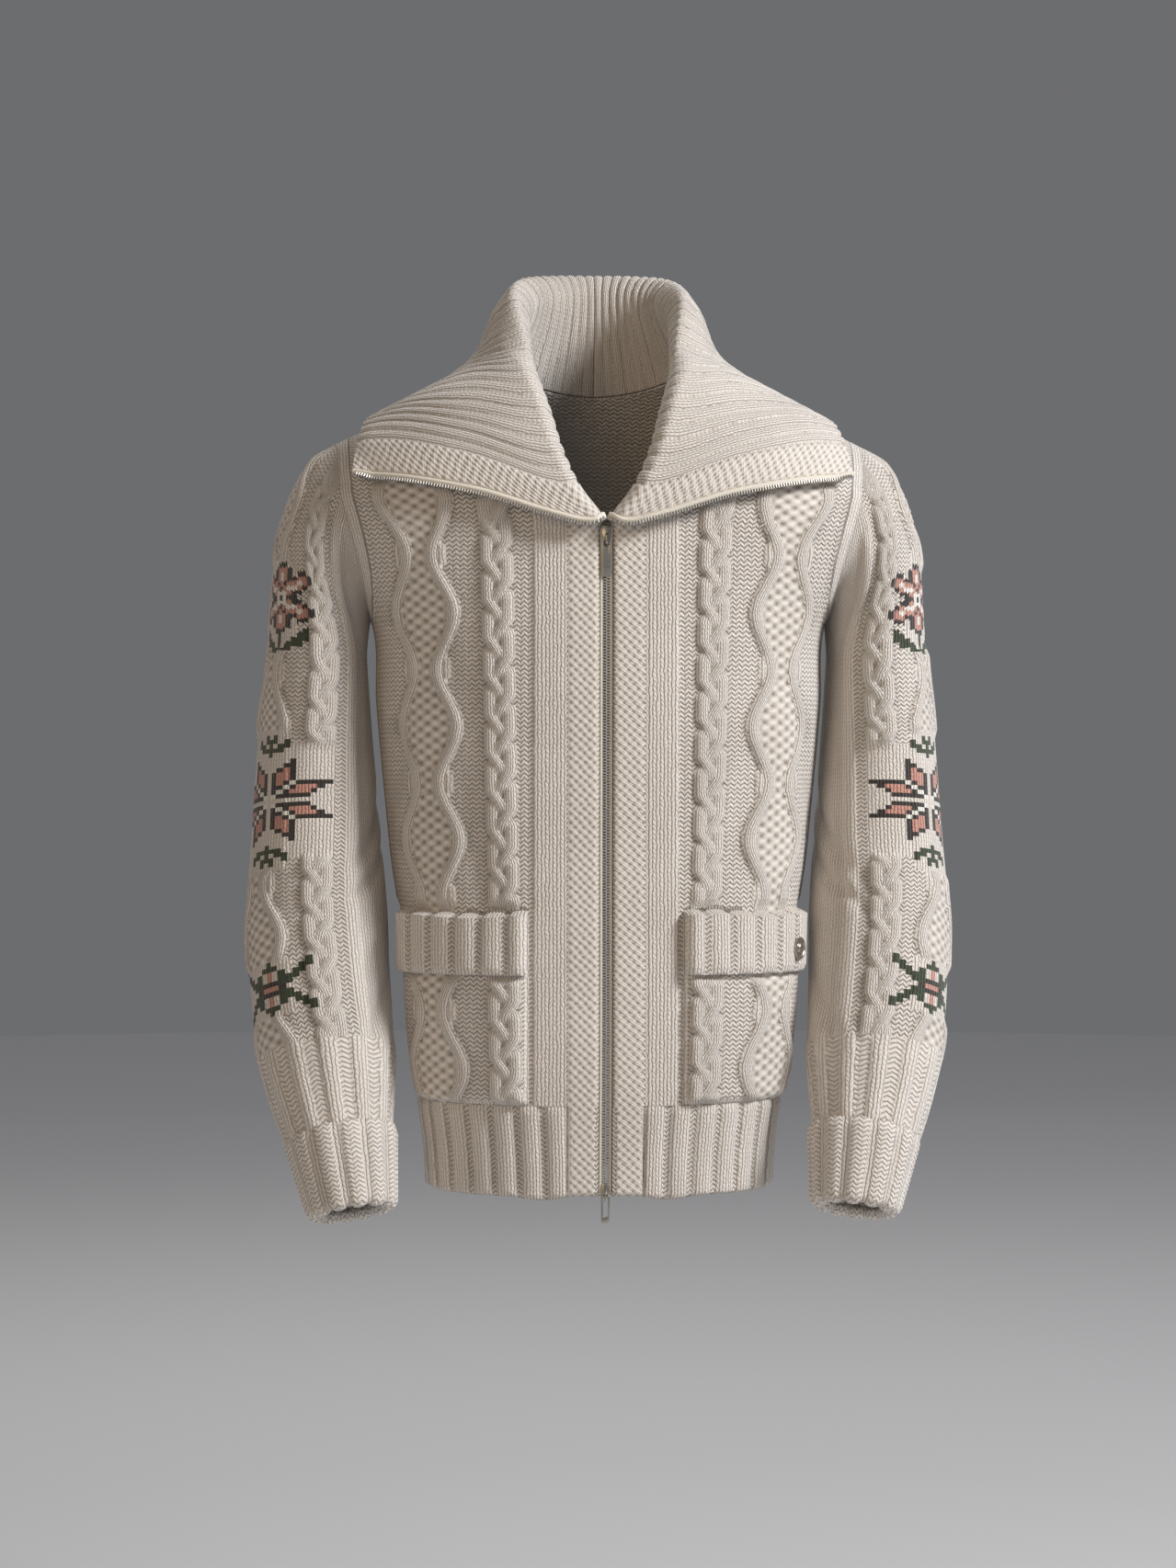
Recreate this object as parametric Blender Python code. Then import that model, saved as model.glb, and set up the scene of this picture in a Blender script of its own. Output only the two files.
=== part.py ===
"""Zip-up cable-knit cardigan in its worn, hollow shape, with a tall rib collar folded open.

Metres, +Z up.  The fronts face -Y and the wearer's left is +X.  The origin lies inside the neck, between the
shoulders.  Every cloth piece is a knitted wall: a fine outer face that carries the cables, diamonds and ribs,
over a plain inner face one wall thickness behind it.
"""

import functools
import math

import bmesh
import bpy
import numpy as np
from mathutils import Vector

# ---- driving dimensions ------------------------------------------------------------------------------------
WALL = 0.004            # thickness of the knitted cloth
SEAM = 0.0003           # gap between neighbouring pieces
PERIOD = 0.099          # one diamond, and one full turn of a three-strand cable
FINE_ROW = PERIOD / 12  # height of one fine mesh row

HEM_HEIGHT = -0.7100    # lower edge of the hem rib
RIB_TOP = -0.6300       # where the hem rib starts
CHEST = -0.1300         # above this height the torso rounds over to the shoulders
UNDERARM = -0.2050
SHOULDER_TIP = (0.234, -0.045)      # half width and height of the shoulder's end
NECK_POINT = (0.083, 0.025)         # half width and height where the shoulder meets the collar
NECK_V = (0.0063, -0.125)           # half gap and height where the opened zip edges part
BACK_NECK_DROP = 0.016
NECK_CURVE = 1.45       # how far the front neckline bows outwards under the collar
SIDE_POWER = 2.5        # squareness of the torso's section
SHOULDER_POWER = 2.2    # squareness of the shoulder's profile

# Half width, front depth and back depth of the torso at each height
TORSO_COLUMNS = ("height", "half_width", "front", "back")
TORSO = (
    (-0.720, 0.1530, 0.1050, 0.1060),
    (-0.665, 0.1565, 0.1090, 0.1085),
    (-0.627, 0.1620, 0.1130, 0.1085),
    (-0.576, 0.1710, 0.1165, 0.1060),
    (-0.530, 0.1757, 0.1185, 0.1035),
    (-0.4585, 0.1790, 0.1190, 0.1010),
    (-0.4175, 0.1850, 0.1190, 0.1030),
    (-0.370, 0.1897, 0.1200, 0.1060),
    (-0.280, 0.1979, 0.1230, 0.1130),
    (-0.205, 0.2028, 0.1245, 0.1180),
    (-0.130, 0.2450, 0.1240, 0.1180),
)

# Half width of the armhole seam, seen from the front
ARMHOLE_COLUMNS = ("height", "half_width")
ARMHOLE = (
    (-0.2050, 0.2028),
    (-0.1622, 0.2102),
    (-0.1300, 0.2187),
    (-0.0858, 0.2303),
    (-0.0450, 0.2340),
)

# Sleeve rings: outer and inner side, middle in depth, height of the middle, half depth
SLEEVE_COLUMNS = ("outer", "inner", "middle_y", "middle_z", "half_depth")
SLEEVE = (
    (0.2955, 0.2065, 0.012, -0.240, 0.0770),
    (0.3030, 0.2015, 0.012, -0.310, 0.0740),
    (0.3085, 0.1940, 0.004, -0.395, 0.0690),
    (0.3120, 0.1880, -0.010, -0.465, 0.0650),
    (0.3076, 0.1850, -0.030, -0.530, 0.0600),
    (0.2993, 0.1820, -0.050, -0.587, 0.0550),
    (0.2870, 0.1815, -0.067, -0.632, 0.0490),
    (0.2770, 0.1820, -0.079, -0.660, 0.0450),
    (0.2555, 0.1820, -0.100, -0.722, 0.0380),
)
ARMHOLE_GAP = 0.0021    # between the fronts or back and the sleeve
SLEEVE_TURN = math.radians(33)      # how far forward the sleeve's outer line lies
CUFF_HEIGHT = 0.067
SLEEVE_RIB = 0.075      # height of the sleeve's rib above the turned-back cuff
CUFF_INSET = 0.0074     # the sleeve's end lies this far inside the cuff

# Collar sections from the zip edge (0) to the middle of the back (1): fold, middle of the fall, outer edge
COLLAR_COLUMNS = ("place", "heading", "fold_x", "fold_y", "fold_z", "roll",
                  "fall_x", "fall_y", "fall_z", "edge_x", "edge_y", "edge_z")
COLLAR = (
    (0.000, 0, 0.0054, -0.1270, -0.1178, 0.0062, 0.115, -0.1265, -0.0955, 0.2195, -0.0860, -0.0775),
    (0.090, 8, 0.0240, -0.1250, -0.0930, 0.0070, 0.118, -0.1170, -0.0700, 0.2165, -0.0640, -0.0520),
    (0.175, 16, 0.0385, -0.1165, -0.0600, 0.0080, 0.122, -0.1020, -0.0420, 0.2105, -0.0370, -0.0290),
    (0.250, 24, 0.0470, -0.1020, -0.0300, 0.0090, 0.124, -0.0830, -0.0190, 0.2080, -0.0050, -0.0235),
    (0.350, 36, 0.0590, -0.0750, 0.0080, 0.0105, 0.124, -0.0380, 0.0120, 0.1960, 0.0360, -0.0250),
    (0.500, 62, 0.0700, -0.0300, 0.0580, 0.0130, 0.117, 0.0220, 0.0330, 0.1660, 0.0680, -0.0320),
    (0.646, 92, 0.0760, 0.0110, 0.0970, 0.0140, 0.104, 0.0660, 0.0460, 0.1260, 0.0890, -0.0200),
    (0.750, 118, 0.0670, 0.0470, 0.1120, 0.0140, 0.083, 0.0880, 0.0520, 0.0940, 0.0990, -0.0080),
    (0.870, 150, 0.0390, 0.0720, 0.1190, 0.0140, 0.045, 0.1020, 0.0580, 0.0500, 0.1080, -0.0020),
    (1.000, 180, 0.0000, 0.0830, 0.1210, 0.0140, 0.000, 0.1090, 0.0600, 0.0000, 0.1110, 0.0000),
)
NECK_SHARE = 0.646      # share of the half neck seam that lies on the front
COLLAR_LAY = 0.105      # share by which the collar's fall stands off the shoulders
COLLAR_LAY_FRONT = 0.115            # the same where it crosses the cables
NECK_GAP = 0.0025       # between the neckline and the collar
COLLAR_MOSS = 0.095     # the moss band's share of the half collar
COLLAR_RIBS = 28        # ribs on each half of the collar

# Where each knitted band starts across the front, from the zip, and how far it stands out
MOSS_BAND = (0.0078, 0.0330, 0.0014)
PLAIN_BAND = (0.0345, 0.0630, 0.0012)
EDGE_BAND = 0.013       # width of the plain edge along the armhole and side seam
EDGE_RISE = 0.0012
CABLE_HALF = 0.0135
CABLE_RISE = 0.0046
CABLE_PLAY = 0.0016
STRAND_HALF = 0.0064
STRAND_RISE = 0.0044
SEED_RISE = 0.0012
DIAMOND_MEAN = 0.0205   # mean distance of a diamond's strand from its middle line
DIAMOND_SWING = 0.0090

# Middle lines of the cable and the diamond column, and the height of a diamond's widest place
BAND_COLUMNS = ("height", "cable", "diamond")
BANDS = (
    (-0.630, 0.0850, 0.1520),
    (-0.460, 0.0890, 0.1570),
    (-0.100, 0.0960, 0.1650),
)
WIDEST = -0.2019
LOBE_START = {1: 0.012, -1: 0.0}    # where the cable's first crossing lies on each front

POCKET = (0.067, 0.205, -0.6290, -0.4610)       # inner and outer side, lower and upper edge
POCKET_STAND = 0.0021   # clearance between the front and the pocket
WELT_LOW = -0.5160
HEM_RIB = (0.0345, 0.0220, 0.0135, 0.0020)      # first rib, pitch, raised width, rise
CUFF_RIB = (12, 0.60, 0.0017)                   # ribs round a cuff, raised share, rise
WELT_RIBS = 6

# Soft folds: place across, height, half width, half length, lean, depth
FOLD_COLUMNS = ("across", "height", "half_width", "half_length", "lean", "depth")
FRONT_FOLDS = (
    (0.115, -0.395, 0.016, 0.075, 0.25, 0.0030),
    (0.200, -0.330, 0.014, 0.060, -0.35, 0.0035),
    (0.140, -0.250, 0.018, 0.055, 0.45, 0.0022),
)
BACK_FOLDS = (
    (0.070, -0.400, 0.022, 0.150, 0.10, 0.0050),
    (0.155, -0.300, 0.018, 0.110, -0.30, 0.0045),
    (0.120, -0.560, 0.020, 0.110, 0.15, 0.0045),
    (0.000, -0.200, 0.024, 0.100, 0.05, 0.0035),
)
SLEEVE_FOLDS = (
    (0.135, -0.395, 0.012, 0.045, 0.90, 0.0050),
    (0.125, -0.440, 0.010, 0.040, 1.10, 0.0045),
    (-0.130, -0.420, 0.012, 0.050, -0.80, 0.0050),
    (0.120, -0.560, 0.010, 0.040, 0.70, 0.0035),
    (-0.110, -0.300, 0.014, 0.060, -0.50, 0.0040),
)

ZIP_TAPE = (-0.010, -0.004, 0.0011, 0.0020)     # end behind the front and on the collar, near side, far side
ZIP_BEAD = (0.0035, 0.0060, -0.0013, 0.0027)    # sides, near and far face of the row of teeth
UPPER_SLIDER = -0.1350
LOWER_SLIDER = -0.7045
SLIDER_SIZE = (0.0085, 0.0130, 0.0015)
SLIDER_GAP = 0.0009     # between the row of teeth and the slider's plate
PIVOT_STAND = 0.0019    # pull's axis in front of the slider's face
PIVOT_DROP = 0.0045     # and below the slider's middle
UPPER_PULL = (0.0078, 0.0330, 0.0014)
LOWER_PULL = (0.0075, 0.0240, 0.0014)
SNAP_PLACE = (0.178, -0.4960)                   # across and height of the snap on the left welt
SNAP_RADIUS = 0.0100

WOOL = (0.80, 0.74, 0.62)
STEEL = (0.62, 0.62, 0.60)
TAPE = (0.70, 0.66, 0.58)


# ---- reading tables and curves -----------------------------------------------------------------------------
def smooth(at, places, values):
    """Values read at `at` from a smooth curve through (places, values)."""
    at, places, values = (np.asarray(a, float) for a in (at, places, values))
    slopes = np.gradient(values, places)
    cell = np.clip(np.searchsorted(places, at) - 1, 0, len(places) - 2)
    width = places[cell + 1] - places[cell]
    t = np.clip((at - places[cell]) / width, 0.0, 1.0)
    rise = 3 * t**2 - 2 * t**3
    start = (t - 2 * t**2 + t**3) * slopes[cell] * width
    end = (t**3 - t**2) * slopes[cell + 1] * width
    return values[cell] * (1 - rise) + values[cell + 1] * rise + start + end


def column(table, names, name):
    return [row[names.index(name)] for row in table]


def torso(name, z):
    return smooth(z, column(TORSO, TORSO_COLUMNS, "height"), column(TORSO, TORSO_COLUMNS, name))


def armhole(z):
    heights = column(ARMHOLE, ARMHOLE_COLUMNS, "height")
    return smooth(z, heights, column(ARMHOLE, ARMHOLE_COLUMNS, "half_width"))


def band(name, z):
    return smooth(z, column(BANDS, BAND_COLUMNS, "height"), column(BANDS, BAND_COLUMNS, name))


def unit(vectors):
    return vectors / np.maximum(np.linalg.norm(vectors, axis=-1, keepdims=True), 1e-9)


def bump(x, half):
    """1 at the middle, falling smoothly to 0 at `half`."""
    return np.clip(1 - (np.asarray(x, float) / half) ** 2, 0, 1) ** 2


def folds(table, across, height):
    """Depth of the soft folds at a place on the cloth."""
    depth = np.zeros(np.broadcast(across, height).shape)
    for at, z, half_width, half_length, lean, deep in table:
        along = height - z
        away = np.abs(across) - at - lean * along
        depth += deep * np.exp(-((away / half_width) ** 2) - (along / half_length) ** 2)
    return depth


# ---- the torso's surface -----------------------------------------------------------------------------------
@functools.lru_cache(maxsize=None)
def section(z, side):
    """Arc length, half width and depth along a quarter of the torso's section."""
    turn = np.linspace(0, math.pi / 2, 181)
    x = torso("half_width", z) * np.sin(turn) ** (2 / SIDE_POWER)
    y = torso(side, z) * np.cos(turn) ** (2 / SIDE_POWER)
    arc = np.concatenate([[0], np.cumsum(np.hypot(np.diff(x), np.diff(y)))])
    return arc, x, y


def edge_arc(z, side):
    """How far from the middle the armhole or the side seam lies, along the cloth."""
    arc, x, _ = section(z, side)
    if z <= UNDERARM:
        return float(arc[-1])
    return float(np.interp(armhole(z), x, arc))


def shoulder_height(x):
    slope = (NECK_POINT[1] - SHOULDER_TIP[1]) / (SHOULDER_TIP[0] - NECK_POINT[0])
    return NECK_POINT[1] - slope * (np.abs(x) - NECK_POINT[0])


def top_height(x, side):
    """Height of a panel's top edge: the neckline, then the shoulder."""
    x = np.abs(x)
    if side == "front":
        share = np.clip((x - NECK_V[0]) / (NECK_POINT[0] - NECK_V[0]), 0, 1)
        neck = NECK_V[1] + (NECK_POINT[1] - NECK_V[1]) * share**NECK_CURVE
    else:
        neck = NECK_POINT[1] - BACK_NECK_DROP * (1 - np.clip(x / NECK_POINT[0], 0, 1) ** 2)
    return np.where(x < NECK_POINT[0], neck, shoulder_height(x))


def widened(x, height):
    """Distance from the middle at a height above CHEST of a column that stands at x on CHEST."""
    return x * armhole(height) / armhole(CHEST)


def crown(x):
    """Height where a column that stands at x on CHEST meets the shoulder's line."""
    height = shoulder_height(x)
    for _ in range(4):
        height = shoulder_height(widened(x, height))
    return height


def rim(x, side):
    """Height where a column that stands at x on CHEST ends at the neckline or the shoulder."""
    height = top_height(x, side)
    for _ in range(12):
        height = 0.5 * height + 0.5 * top_height(widened(x, height), side)
    return height


def torso_point(across, row, side):
    """Point of the torso's outer face.  `row` is a height up to CHEST, and above it CHEST plus a share 0 to 1
    of the way over the shoulder."""
    z = min(row, CHEST)
    share = max(row - CHEST, 0.0)
    arc, xs, ys = section(round(z, 6), side)
    distance = np.abs(across)
    x = np.interp(distance, arc, xs)
    y = np.interp(distance, arc, ys)
    height = np.full(x.shape, z)
    if share > 0:
        rise = crown(x) - CHEST
        top = np.clip((rim(x, side) - CHEST) / rise, 0, 1) ** (SHOULDER_POWER / 2)
        angle = share * np.arcsin(np.minimum(top, 1.0))
        height = CHEST + rise * np.sin(angle) ** (2 / SHOULDER_POWER)
        y = y * np.maximum(np.cos(angle), 0) ** (2 / SHOULDER_POWER)
        x = widened(x, height)
    facing = -1 if side == "front" else 1
    return np.stack([np.sign(across) * x, facing * y, height], axis=-1)


def grid_normals(points, closed=False):
    """Unit normals of a grid of points, rows by columns."""
    if closed:
        wide = np.concatenate([points[:, -1:], points, points[:, :1]], axis=1)
        sideways = wide[:, 2:] - wide[:, :-2]
    else:
        sideways = np.gradient(points, axis=1)
    upward = np.gradient(points, axis=0)
    return unit(np.cross(sideways, upward))


# ---- knitted relief ----------------------------------------------------------------------------------------
def plait(across, height, start):
    """Height of a three-strand cable, in shares of its rise."""
    top = np.zeros(np.broadcast(across, height).shape)
    for strand in range(3):
        turn = 2 * math.pi * ((start - height) / PERIOD + strand / 3)
        middle = -0.56 * CABLE_HALF * np.cos(turn)
        level = 1 + CABLE_PLAY / CABLE_RISE * np.sin(2 * turn)
        top = np.maximum(top, level * bump(across - middle, 0.62 * CABLE_HALF))
    return top


def strand_place(height):
    """Distance of a diamond's strands from its middle line."""
    return DIAMOND_MEAN + DIAMOND_SWING * np.cos(2 * math.pi * (height - WIDEST) / PERIOD)


def diamond(across, height):
    """Rise of the diamond column: two waving strands round a field of seed stitch."""
    away = np.abs(across)
    place = strand_place(height)
    strand = STRAND_RISE * (np.abs(away - place) < 0.75 * STRAND_HALF)
    return np.where(away < place - 0.8 * STRAND_HALF, SEED_RISE, strand)


def flat_band(across, first, last, rise):
    return rise * ((across > first) & (across < last))


def front_relief(across, z, edge, half):
    """Rise of the front's outer face over its ground."""
    rise = flat_band(across, *MOSS_BAND) + flat_band(across, *PLAIN_BAND)
    rise += flat_band(across, edge - EDGE_BAND, edge + 1, EDGE_RISE)
    rise += CABLE_RISE * plait(across - band("cable", z), z, LOBE_START[half])
    from_diamond = across - band("diamond", z)
    rise += np.where(np.abs(from_diamond) < 0.040, diamond(from_diamond, z), 0)
    under_pocket = (z < POCKET[3] + 0.001) & (across > POCKET[0] - 0.003)
    return np.where(under_pocket, 0.0, rise)


def rib_profile(count, first, pitch, raised):
    """Places across a rib and whether each is raised: two for the foot and two for the top of every rib."""
    slope = 0.12 * pitch
    places, tops = [], []
    for k in range(count):
        start = first + k * pitch
        places += [start, start + slope, start + raised - slope, start + raised]
        tops += [0, 1, 1, 0]
    return places, tops


# ---- building walls ----------------------------------------------------------------------------------------
def ladder(mesh, left, right):
    """Faces between two chains of (place, vertex) that run side by side."""
    i = j = 0
    while i < len(left) - 1 or j < len(right) - 1:
        step_left = j == len(right) - 1 or (i < len(left) - 1 and left[i + 1][0] <= right[j + 1][0])
        if step_left:
            mesh.faces.new((left[i][1], right[j][1], left[i + 1][1]))
            i += 1
        else:
            mesh.faces.new((left[i][1], right[j][1], right[j + 1][1]))
            j += 1


def chains(mesh, points, used):
    """One chain of vertices for each column of the grid, with the rows that are used there."""
    rows = np.linspace(0, 1, points.shape[0])
    return [
        [(rows[j], mesh.verts.new(points[j, i])) for j in range(points.shape[0]) if used[j, i]]
        for i in range(points.shape[1])
    ]


def material(name, colour, roughness, metallic=0.0):
    made = bpy.data.materials.get(name) or bpy.data.materials.new(name)
    made.use_nodes = True
    shader = made.node_tree.nodes["Principled BSDF"]
    shader.inputs["Base Color"].default_value = (*colour, 1.0)
    shader.inputs["Roughness"].default_value = roughness
    shader.inputs["Metallic"].default_value = metallic
    return made


def finish(name, mesh, finish_name, colour, roughness=0.9, metallic=0.0, angle=40):
    """Turns a bmesh into a named object with its own material."""
    bmesh.ops.recalc_face_normals(mesh, faces=mesh.faces)
    data = bpy.data.meshes.new(name)
    mesh.to_mesh(data)
    mesh.free()
    data.shade_smooth()
    data.set_sharp_from_angle(angle=math.radians(angle))
    data.materials.append(material(finish_name, colour, roughness, metallic))
    made = bpy.data.objects.new(name, data)
    bpy.context.scene.collection.objects.link(made)
    return made


def kept_within(points, limits):
    """The points with each axis that `limits` names held between its two values."""
    for axis, (low, high) in limits.items():
        points[..., "xyz".index(axis)] = np.clip(points[..., "xyz".index(axis)], low, high)
    return points


def wall(name, base, rise, used, inner_rows, inner_columns, closed=False, normals=None, flip=False, limits=None):
    """A knitted wall.  `base` is the grid of the outer face's ground, `rise` the relief on it, `used` says
    which grid points the outer face keeps, and the inner face takes only the rows and columns that it names."""
    limits = limits or {}
    normals = grid_normals(base, closed) if normals is None else normals
    if flip:
        normals = -normals
    mesh = bmesh.new()
    used = used.copy()
    used[0] = used[-1] = True
    outer = chains(mesh, kept_within(base + normals * rise[..., None], limits), used)
    chosen = np.ix_(inner_rows, inner_columns)
    inner_points = kept_within(base - normals * WALL, limits)[chosen]
    rows = np.linspace(0, 1, base.shape[0])[inner_rows]
    columns = np.linspace(0, 1, base.shape[1])[inner_columns]
    inner = [
        [(rows[j], mesh.verts.new(inner_points[j, i])) for j in range(len(rows))]
        for i in range(len(columns))
    ]
    for one, other in zip(outer, outer[1:] + outer[:1] * closed):
        ladder(mesh, one, other)
    for one, other in zip(inner, inner[1:] + inner[:1] * closed):
        ladder(mesh, one, other)
    places = np.linspace(0, 1, base.shape[1])
    for end in (0, -1):
        outer_rim = [(places[i], chain[end][1]) for i, chain in enumerate(outer)]
        inner_rim = [(columns[i], chain[end][1]) for i, chain in enumerate(inner)]
        if closed:
            outer_rim.append((1 + places[1], outer_rim[0][1]))
            inner_rim.append((1 + places[1], inner_rim[0][1]))
        ladder(mesh, outer_rim, inner_rim)
    if not closed:
        ladder(mesh, outer[0], inner[0])
        ladder(mesh, outer[-1], inner[-1])
    return finish(name, mesh, f"{name} wool", WOOL)


def rows_between(low, high, step):
    return list(np.linspace(low, high, max(2, round((high - low) / step) + 1)))


def spread(values, count):
    """Indices of about `count` evenly spread entries, with both ends."""
    return sorted(set(np.round(np.linspace(0, len(values) - 1, count)).astype(int).tolist()))


# ---- fronts, back and hem ----------------------------------------------------------------------------------
def front_columns(z, edge):
    """Places across a front at one height, and which of them need every fine row."""
    cable = float(band("cable", z))
    middle = float(band("diamond", z))
    strand = float(strand_place(z))
    ridge = (-STRAND_HALF, -0.55 * STRAND_HALF, 0.55 * STRAND_HALF, STRAND_HALF)
    foot = 0.0010
    places = [(NECK_V[0], 0), (MOSS_BAND[0] + foot / 2, 0), (0.020, 0), (MOSS_BAND[1] - foot / 2, 0),
              (MOSS_BAND[1] + foot / 2, 0), (PLAIN_BAND[0] + foot, 0), (0.049, 0), (PLAIN_BAND[1] - foot, 0),
              (PLAIN_BAND[1] + foot, 0)]
    places += [(cable + share * CABLE_HALF, 1) for share in (-1, -0.5, 0, 0.5, 1)]
    places += [(middle - strand + step, 1) for step in ridge]
    places += [(middle, 0)]
    places += [(middle + strand + step, 1) for step in ridge]
    places += [(edge - EDGE_BAND - foot / 2, 0), (edge - EDGE_BAND + foot / 2, 0), (edge - SEAM / 2, 0)]
    return places


def build_front(half):
    """One front.  `half` is 1 on the wearer's left and -1 on the right."""
    low = rows_between(RIB_TOP + SEAM / 2, POCKET[3] - 0.001, 0.042)
    fine = list(np.arange(POCKET[3] + 0.002, CHEST - FINE_ROW / 3, FINE_ROW))
    rows = low + fine + [CHEST, CHEST + 0.12, CHEST + 0.3, CHEST + 0.6, CHEST + 0.85, CHEST + 1.0]
    base, rise, heights = [], [], []
    for row in rows:
        z = min(row, CHEST)
        edge = edge_arc(round(z, 6), "front")
        places = front_columns(z, edge)
        across = np.array([place for place, _ in places])
        point = torso_point(half * across, row, "front")
        height = point[:, 2] if row > CHEST else np.full(across.shape, row)
        base.append(point)
        heights.append(height)
        relief = front_relief(across, height, edge, half)
        relief[[0, -1]] = 0.0
        rise.append(relief * np.clip((-0.088 - height) / 0.008, 0, 1))
    base, rise, heights = np.array(base), np.array(rise), np.array(heights)
    needs_all = np.array([every for _, every in places], bool)
    used = np.zeros(rise.shape, bool)
    used[:, needs_all] = True
    coarse = set(range(len(low))) | set(range(len(low), len(rows), 5)) | set(range(len(rows) - 6, len(rows)))
    used[sorted(coarse)] = True
    hidden = heights > -0.085
    hidden[-1] = False
    used[hidden] = False
    used[:, -1] |= heights[:, -1] > UNDERARM - FINE_ROW
    base = sink(base, FRONT_FOLDS, half)
    inner_columns = [0, 2, 4, 7, 11, 14, 18, 21, 23, len(places) - 1]
    inner_rows = list(range(len(low))) + list(range(len(low) + 2, len(rows) - 6, 5))
    inner_rows += list(range(len(rows) - 6, len(rows)))
    name = "front_left" if half > 0 else "front_right"
    limits = {"y": (-1, -SEAM / 2), "z": (RIB_TOP + SEAM / 2, 1)}
    wall(name, base, rise, used, inner_rows, inner_columns, flip=half < 0, limits=limits)


def sink(base, table, half):
    """The surface with its soft folds pressed in, except at its edges."""
    normals = grid_normals(base) * half
    length = np.cumsum(np.linalg.norm(np.diff(base, axis=1), axis=-1), axis=1)
    across = np.concatenate([np.zeros((len(base), 1)), length], axis=1) + NECK_V[0]
    depth = folds(table, across, base[..., 2])
    fade = np.clip((length[:, -1:] + NECK_V[0] - across) / 0.02, 0, 1)
    depth *= fade * np.clip((base[..., 2] - RIB_TOP) / 0.03, 0, 1) * np.clip((-0.10 - base[..., 2]) / 0.03, 0, 1)
    return base - normals * depth[..., None]


def build_back():
    """The plain stocking-stitch back."""
    rows = rows_between(RIB_TOP + SEAM / 2, UNDERARM, 0.050)
    edge_rows = [len(rows), len(rows) + 1]
    rows += [UNDERARM + 0.003, UNDERARM + 0.009] + rows_between(UNDERARM, CHEST, 0.025)[1:]
    rows += [CHEST + share for share in (0.2, 0.4, 0.6, 0.8, 0.92, 1.0)]
    edge_rows += [len(rows) - 2]
    base = []
    arc, x, _ = section(CHEST, "back")
    neck = float(np.interp(NECK_POINT[0] * armhole(CHEST) / SHOULDER_TIP[0], x, arc))
    for row in rows:
        z = round(min(row, CHEST), 6)
        edge = edge_arc(z, "back") - SEAM / 2
        inner = np.linspace(0, neck, 4)
        outer = np.linspace(neck, edge, 8)[1:]
        half = np.concatenate([inner, outer])
        across = np.concatenate([-half[:0:-1], [1e-6], half[1:]])
        base.append(torso_point(across, row, "back"))
    base = np.array(base)
    normals = -grid_normals(base)
    arc = np.linalg.norm(np.diff(base, axis=1), axis=-1)
    middle = base.shape[1] // 2
    across = np.concatenate([np.zeros((len(base), 1)), np.cumsum(arc, axis=1)], axis=1)
    across -= across[:, middle:middle + 1]
    depth = folds(BACK_FOLDS, across, base[..., 2])
    depth *= np.clip((across[:, -1:] - np.abs(across)) / 0.02, 0, 1)
    depth *= np.clip((base[..., 2] - RIB_TOP) / 0.03, 0, 1) * np.clip((-0.10 - base[..., 2]) / 0.03, 0, 1)
    base = base - normals * depth[..., None]
    used = np.ones(base.shape[:2], bool)
    used[edge_rows, 1:-1] = False
    rise = np.zeros(base.shape[:2])
    limits = {"y": (SEAM / 2, 1), "z": (RIB_TOP + SEAM / 2, 1)}
    inner_rows = [0, 2, 4, 6, 8] + list(range(9, len(rows)))
    inner_columns = list(range(0, base.shape[1], 2))
    wall("back", base, rise, used, inner_rows, inner_columns, flip=True, limits=limits)


def hem_edge(across):
    """Lower edge of the hem, which waves a little."""
    wave = 0.0035 * np.cos(across / 0.021) * np.exp(-(((np.abs(across) - 0.05) / 0.03) ** 2))
    return HEM_HEIGHT + wave + 0.006 * np.clip((np.abs(across) - 0.20) / 0.06, 0, 1) ** 2


def build_hem(name, side, half):
    """The rib along the lower edge: a half on each front, and one piece across the back."""
    top_edge = edge_arc(RIB_TOP, side)
    first, pitch, raised, rise_by = HEM_RIB
    count = int((top_edge - 0.004 - first) // pitch)
    places, tops = rib_profile(count, first, (top_edge - 0.004 - first) / count, raised)
    if side == "front":
        places = [NECK_V[0], MOSS_BAND[0] + 0.001, MOSS_BAND[1] - 0.0005] + places + [top_edge]
        tops = [0, 0.7, 0.7] + tops + [0]
    else:
        places = [-p for p in places[::-1]] + [-0.020, -0.007, 0.007, 0.020] + places
        tops = tops[::-1] + [0, 1, 1, 0] + tops
        places = [-top_edge] + places + [top_edge]
        tops = [0] + tops + [0]
    places = np.array(places)
    levels = np.array([0.0, 0.5, 1.0])
    base = []
    for level in levels:
        row = []
        for place in places:
            z = hem_edge(place) * (1 - level) + (RIB_TOP - SEAM / 2) * level
            z = round(float(z), 5)
            share = (edge_arc(z, side) - SEAM / 2) / top_edge
            scaled = place * share if abs(place) > first else place
            row.append(torso_point(np.array([half * scaled]), z, side)[0])
        base.append(row)
    base = np.array(base)
    rise = np.tile(np.array(tops) * rise_by, (len(levels), 1))
    used = np.ones(rise.shape, bool)
    inner_columns = spread(places, 11 if side == "front" else 17)
    flip = (half < 0) if side == "front" else True
    limits = {"y": (-1, -SEAM / 2) if side == "front" else (SEAM / 2, 1), "z": (-1, RIB_TOP - SEAM / 2)}
    wall(name, base, rise, used, [0, 1, 2], inner_columns, flip=flip, limits=limits)


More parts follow.
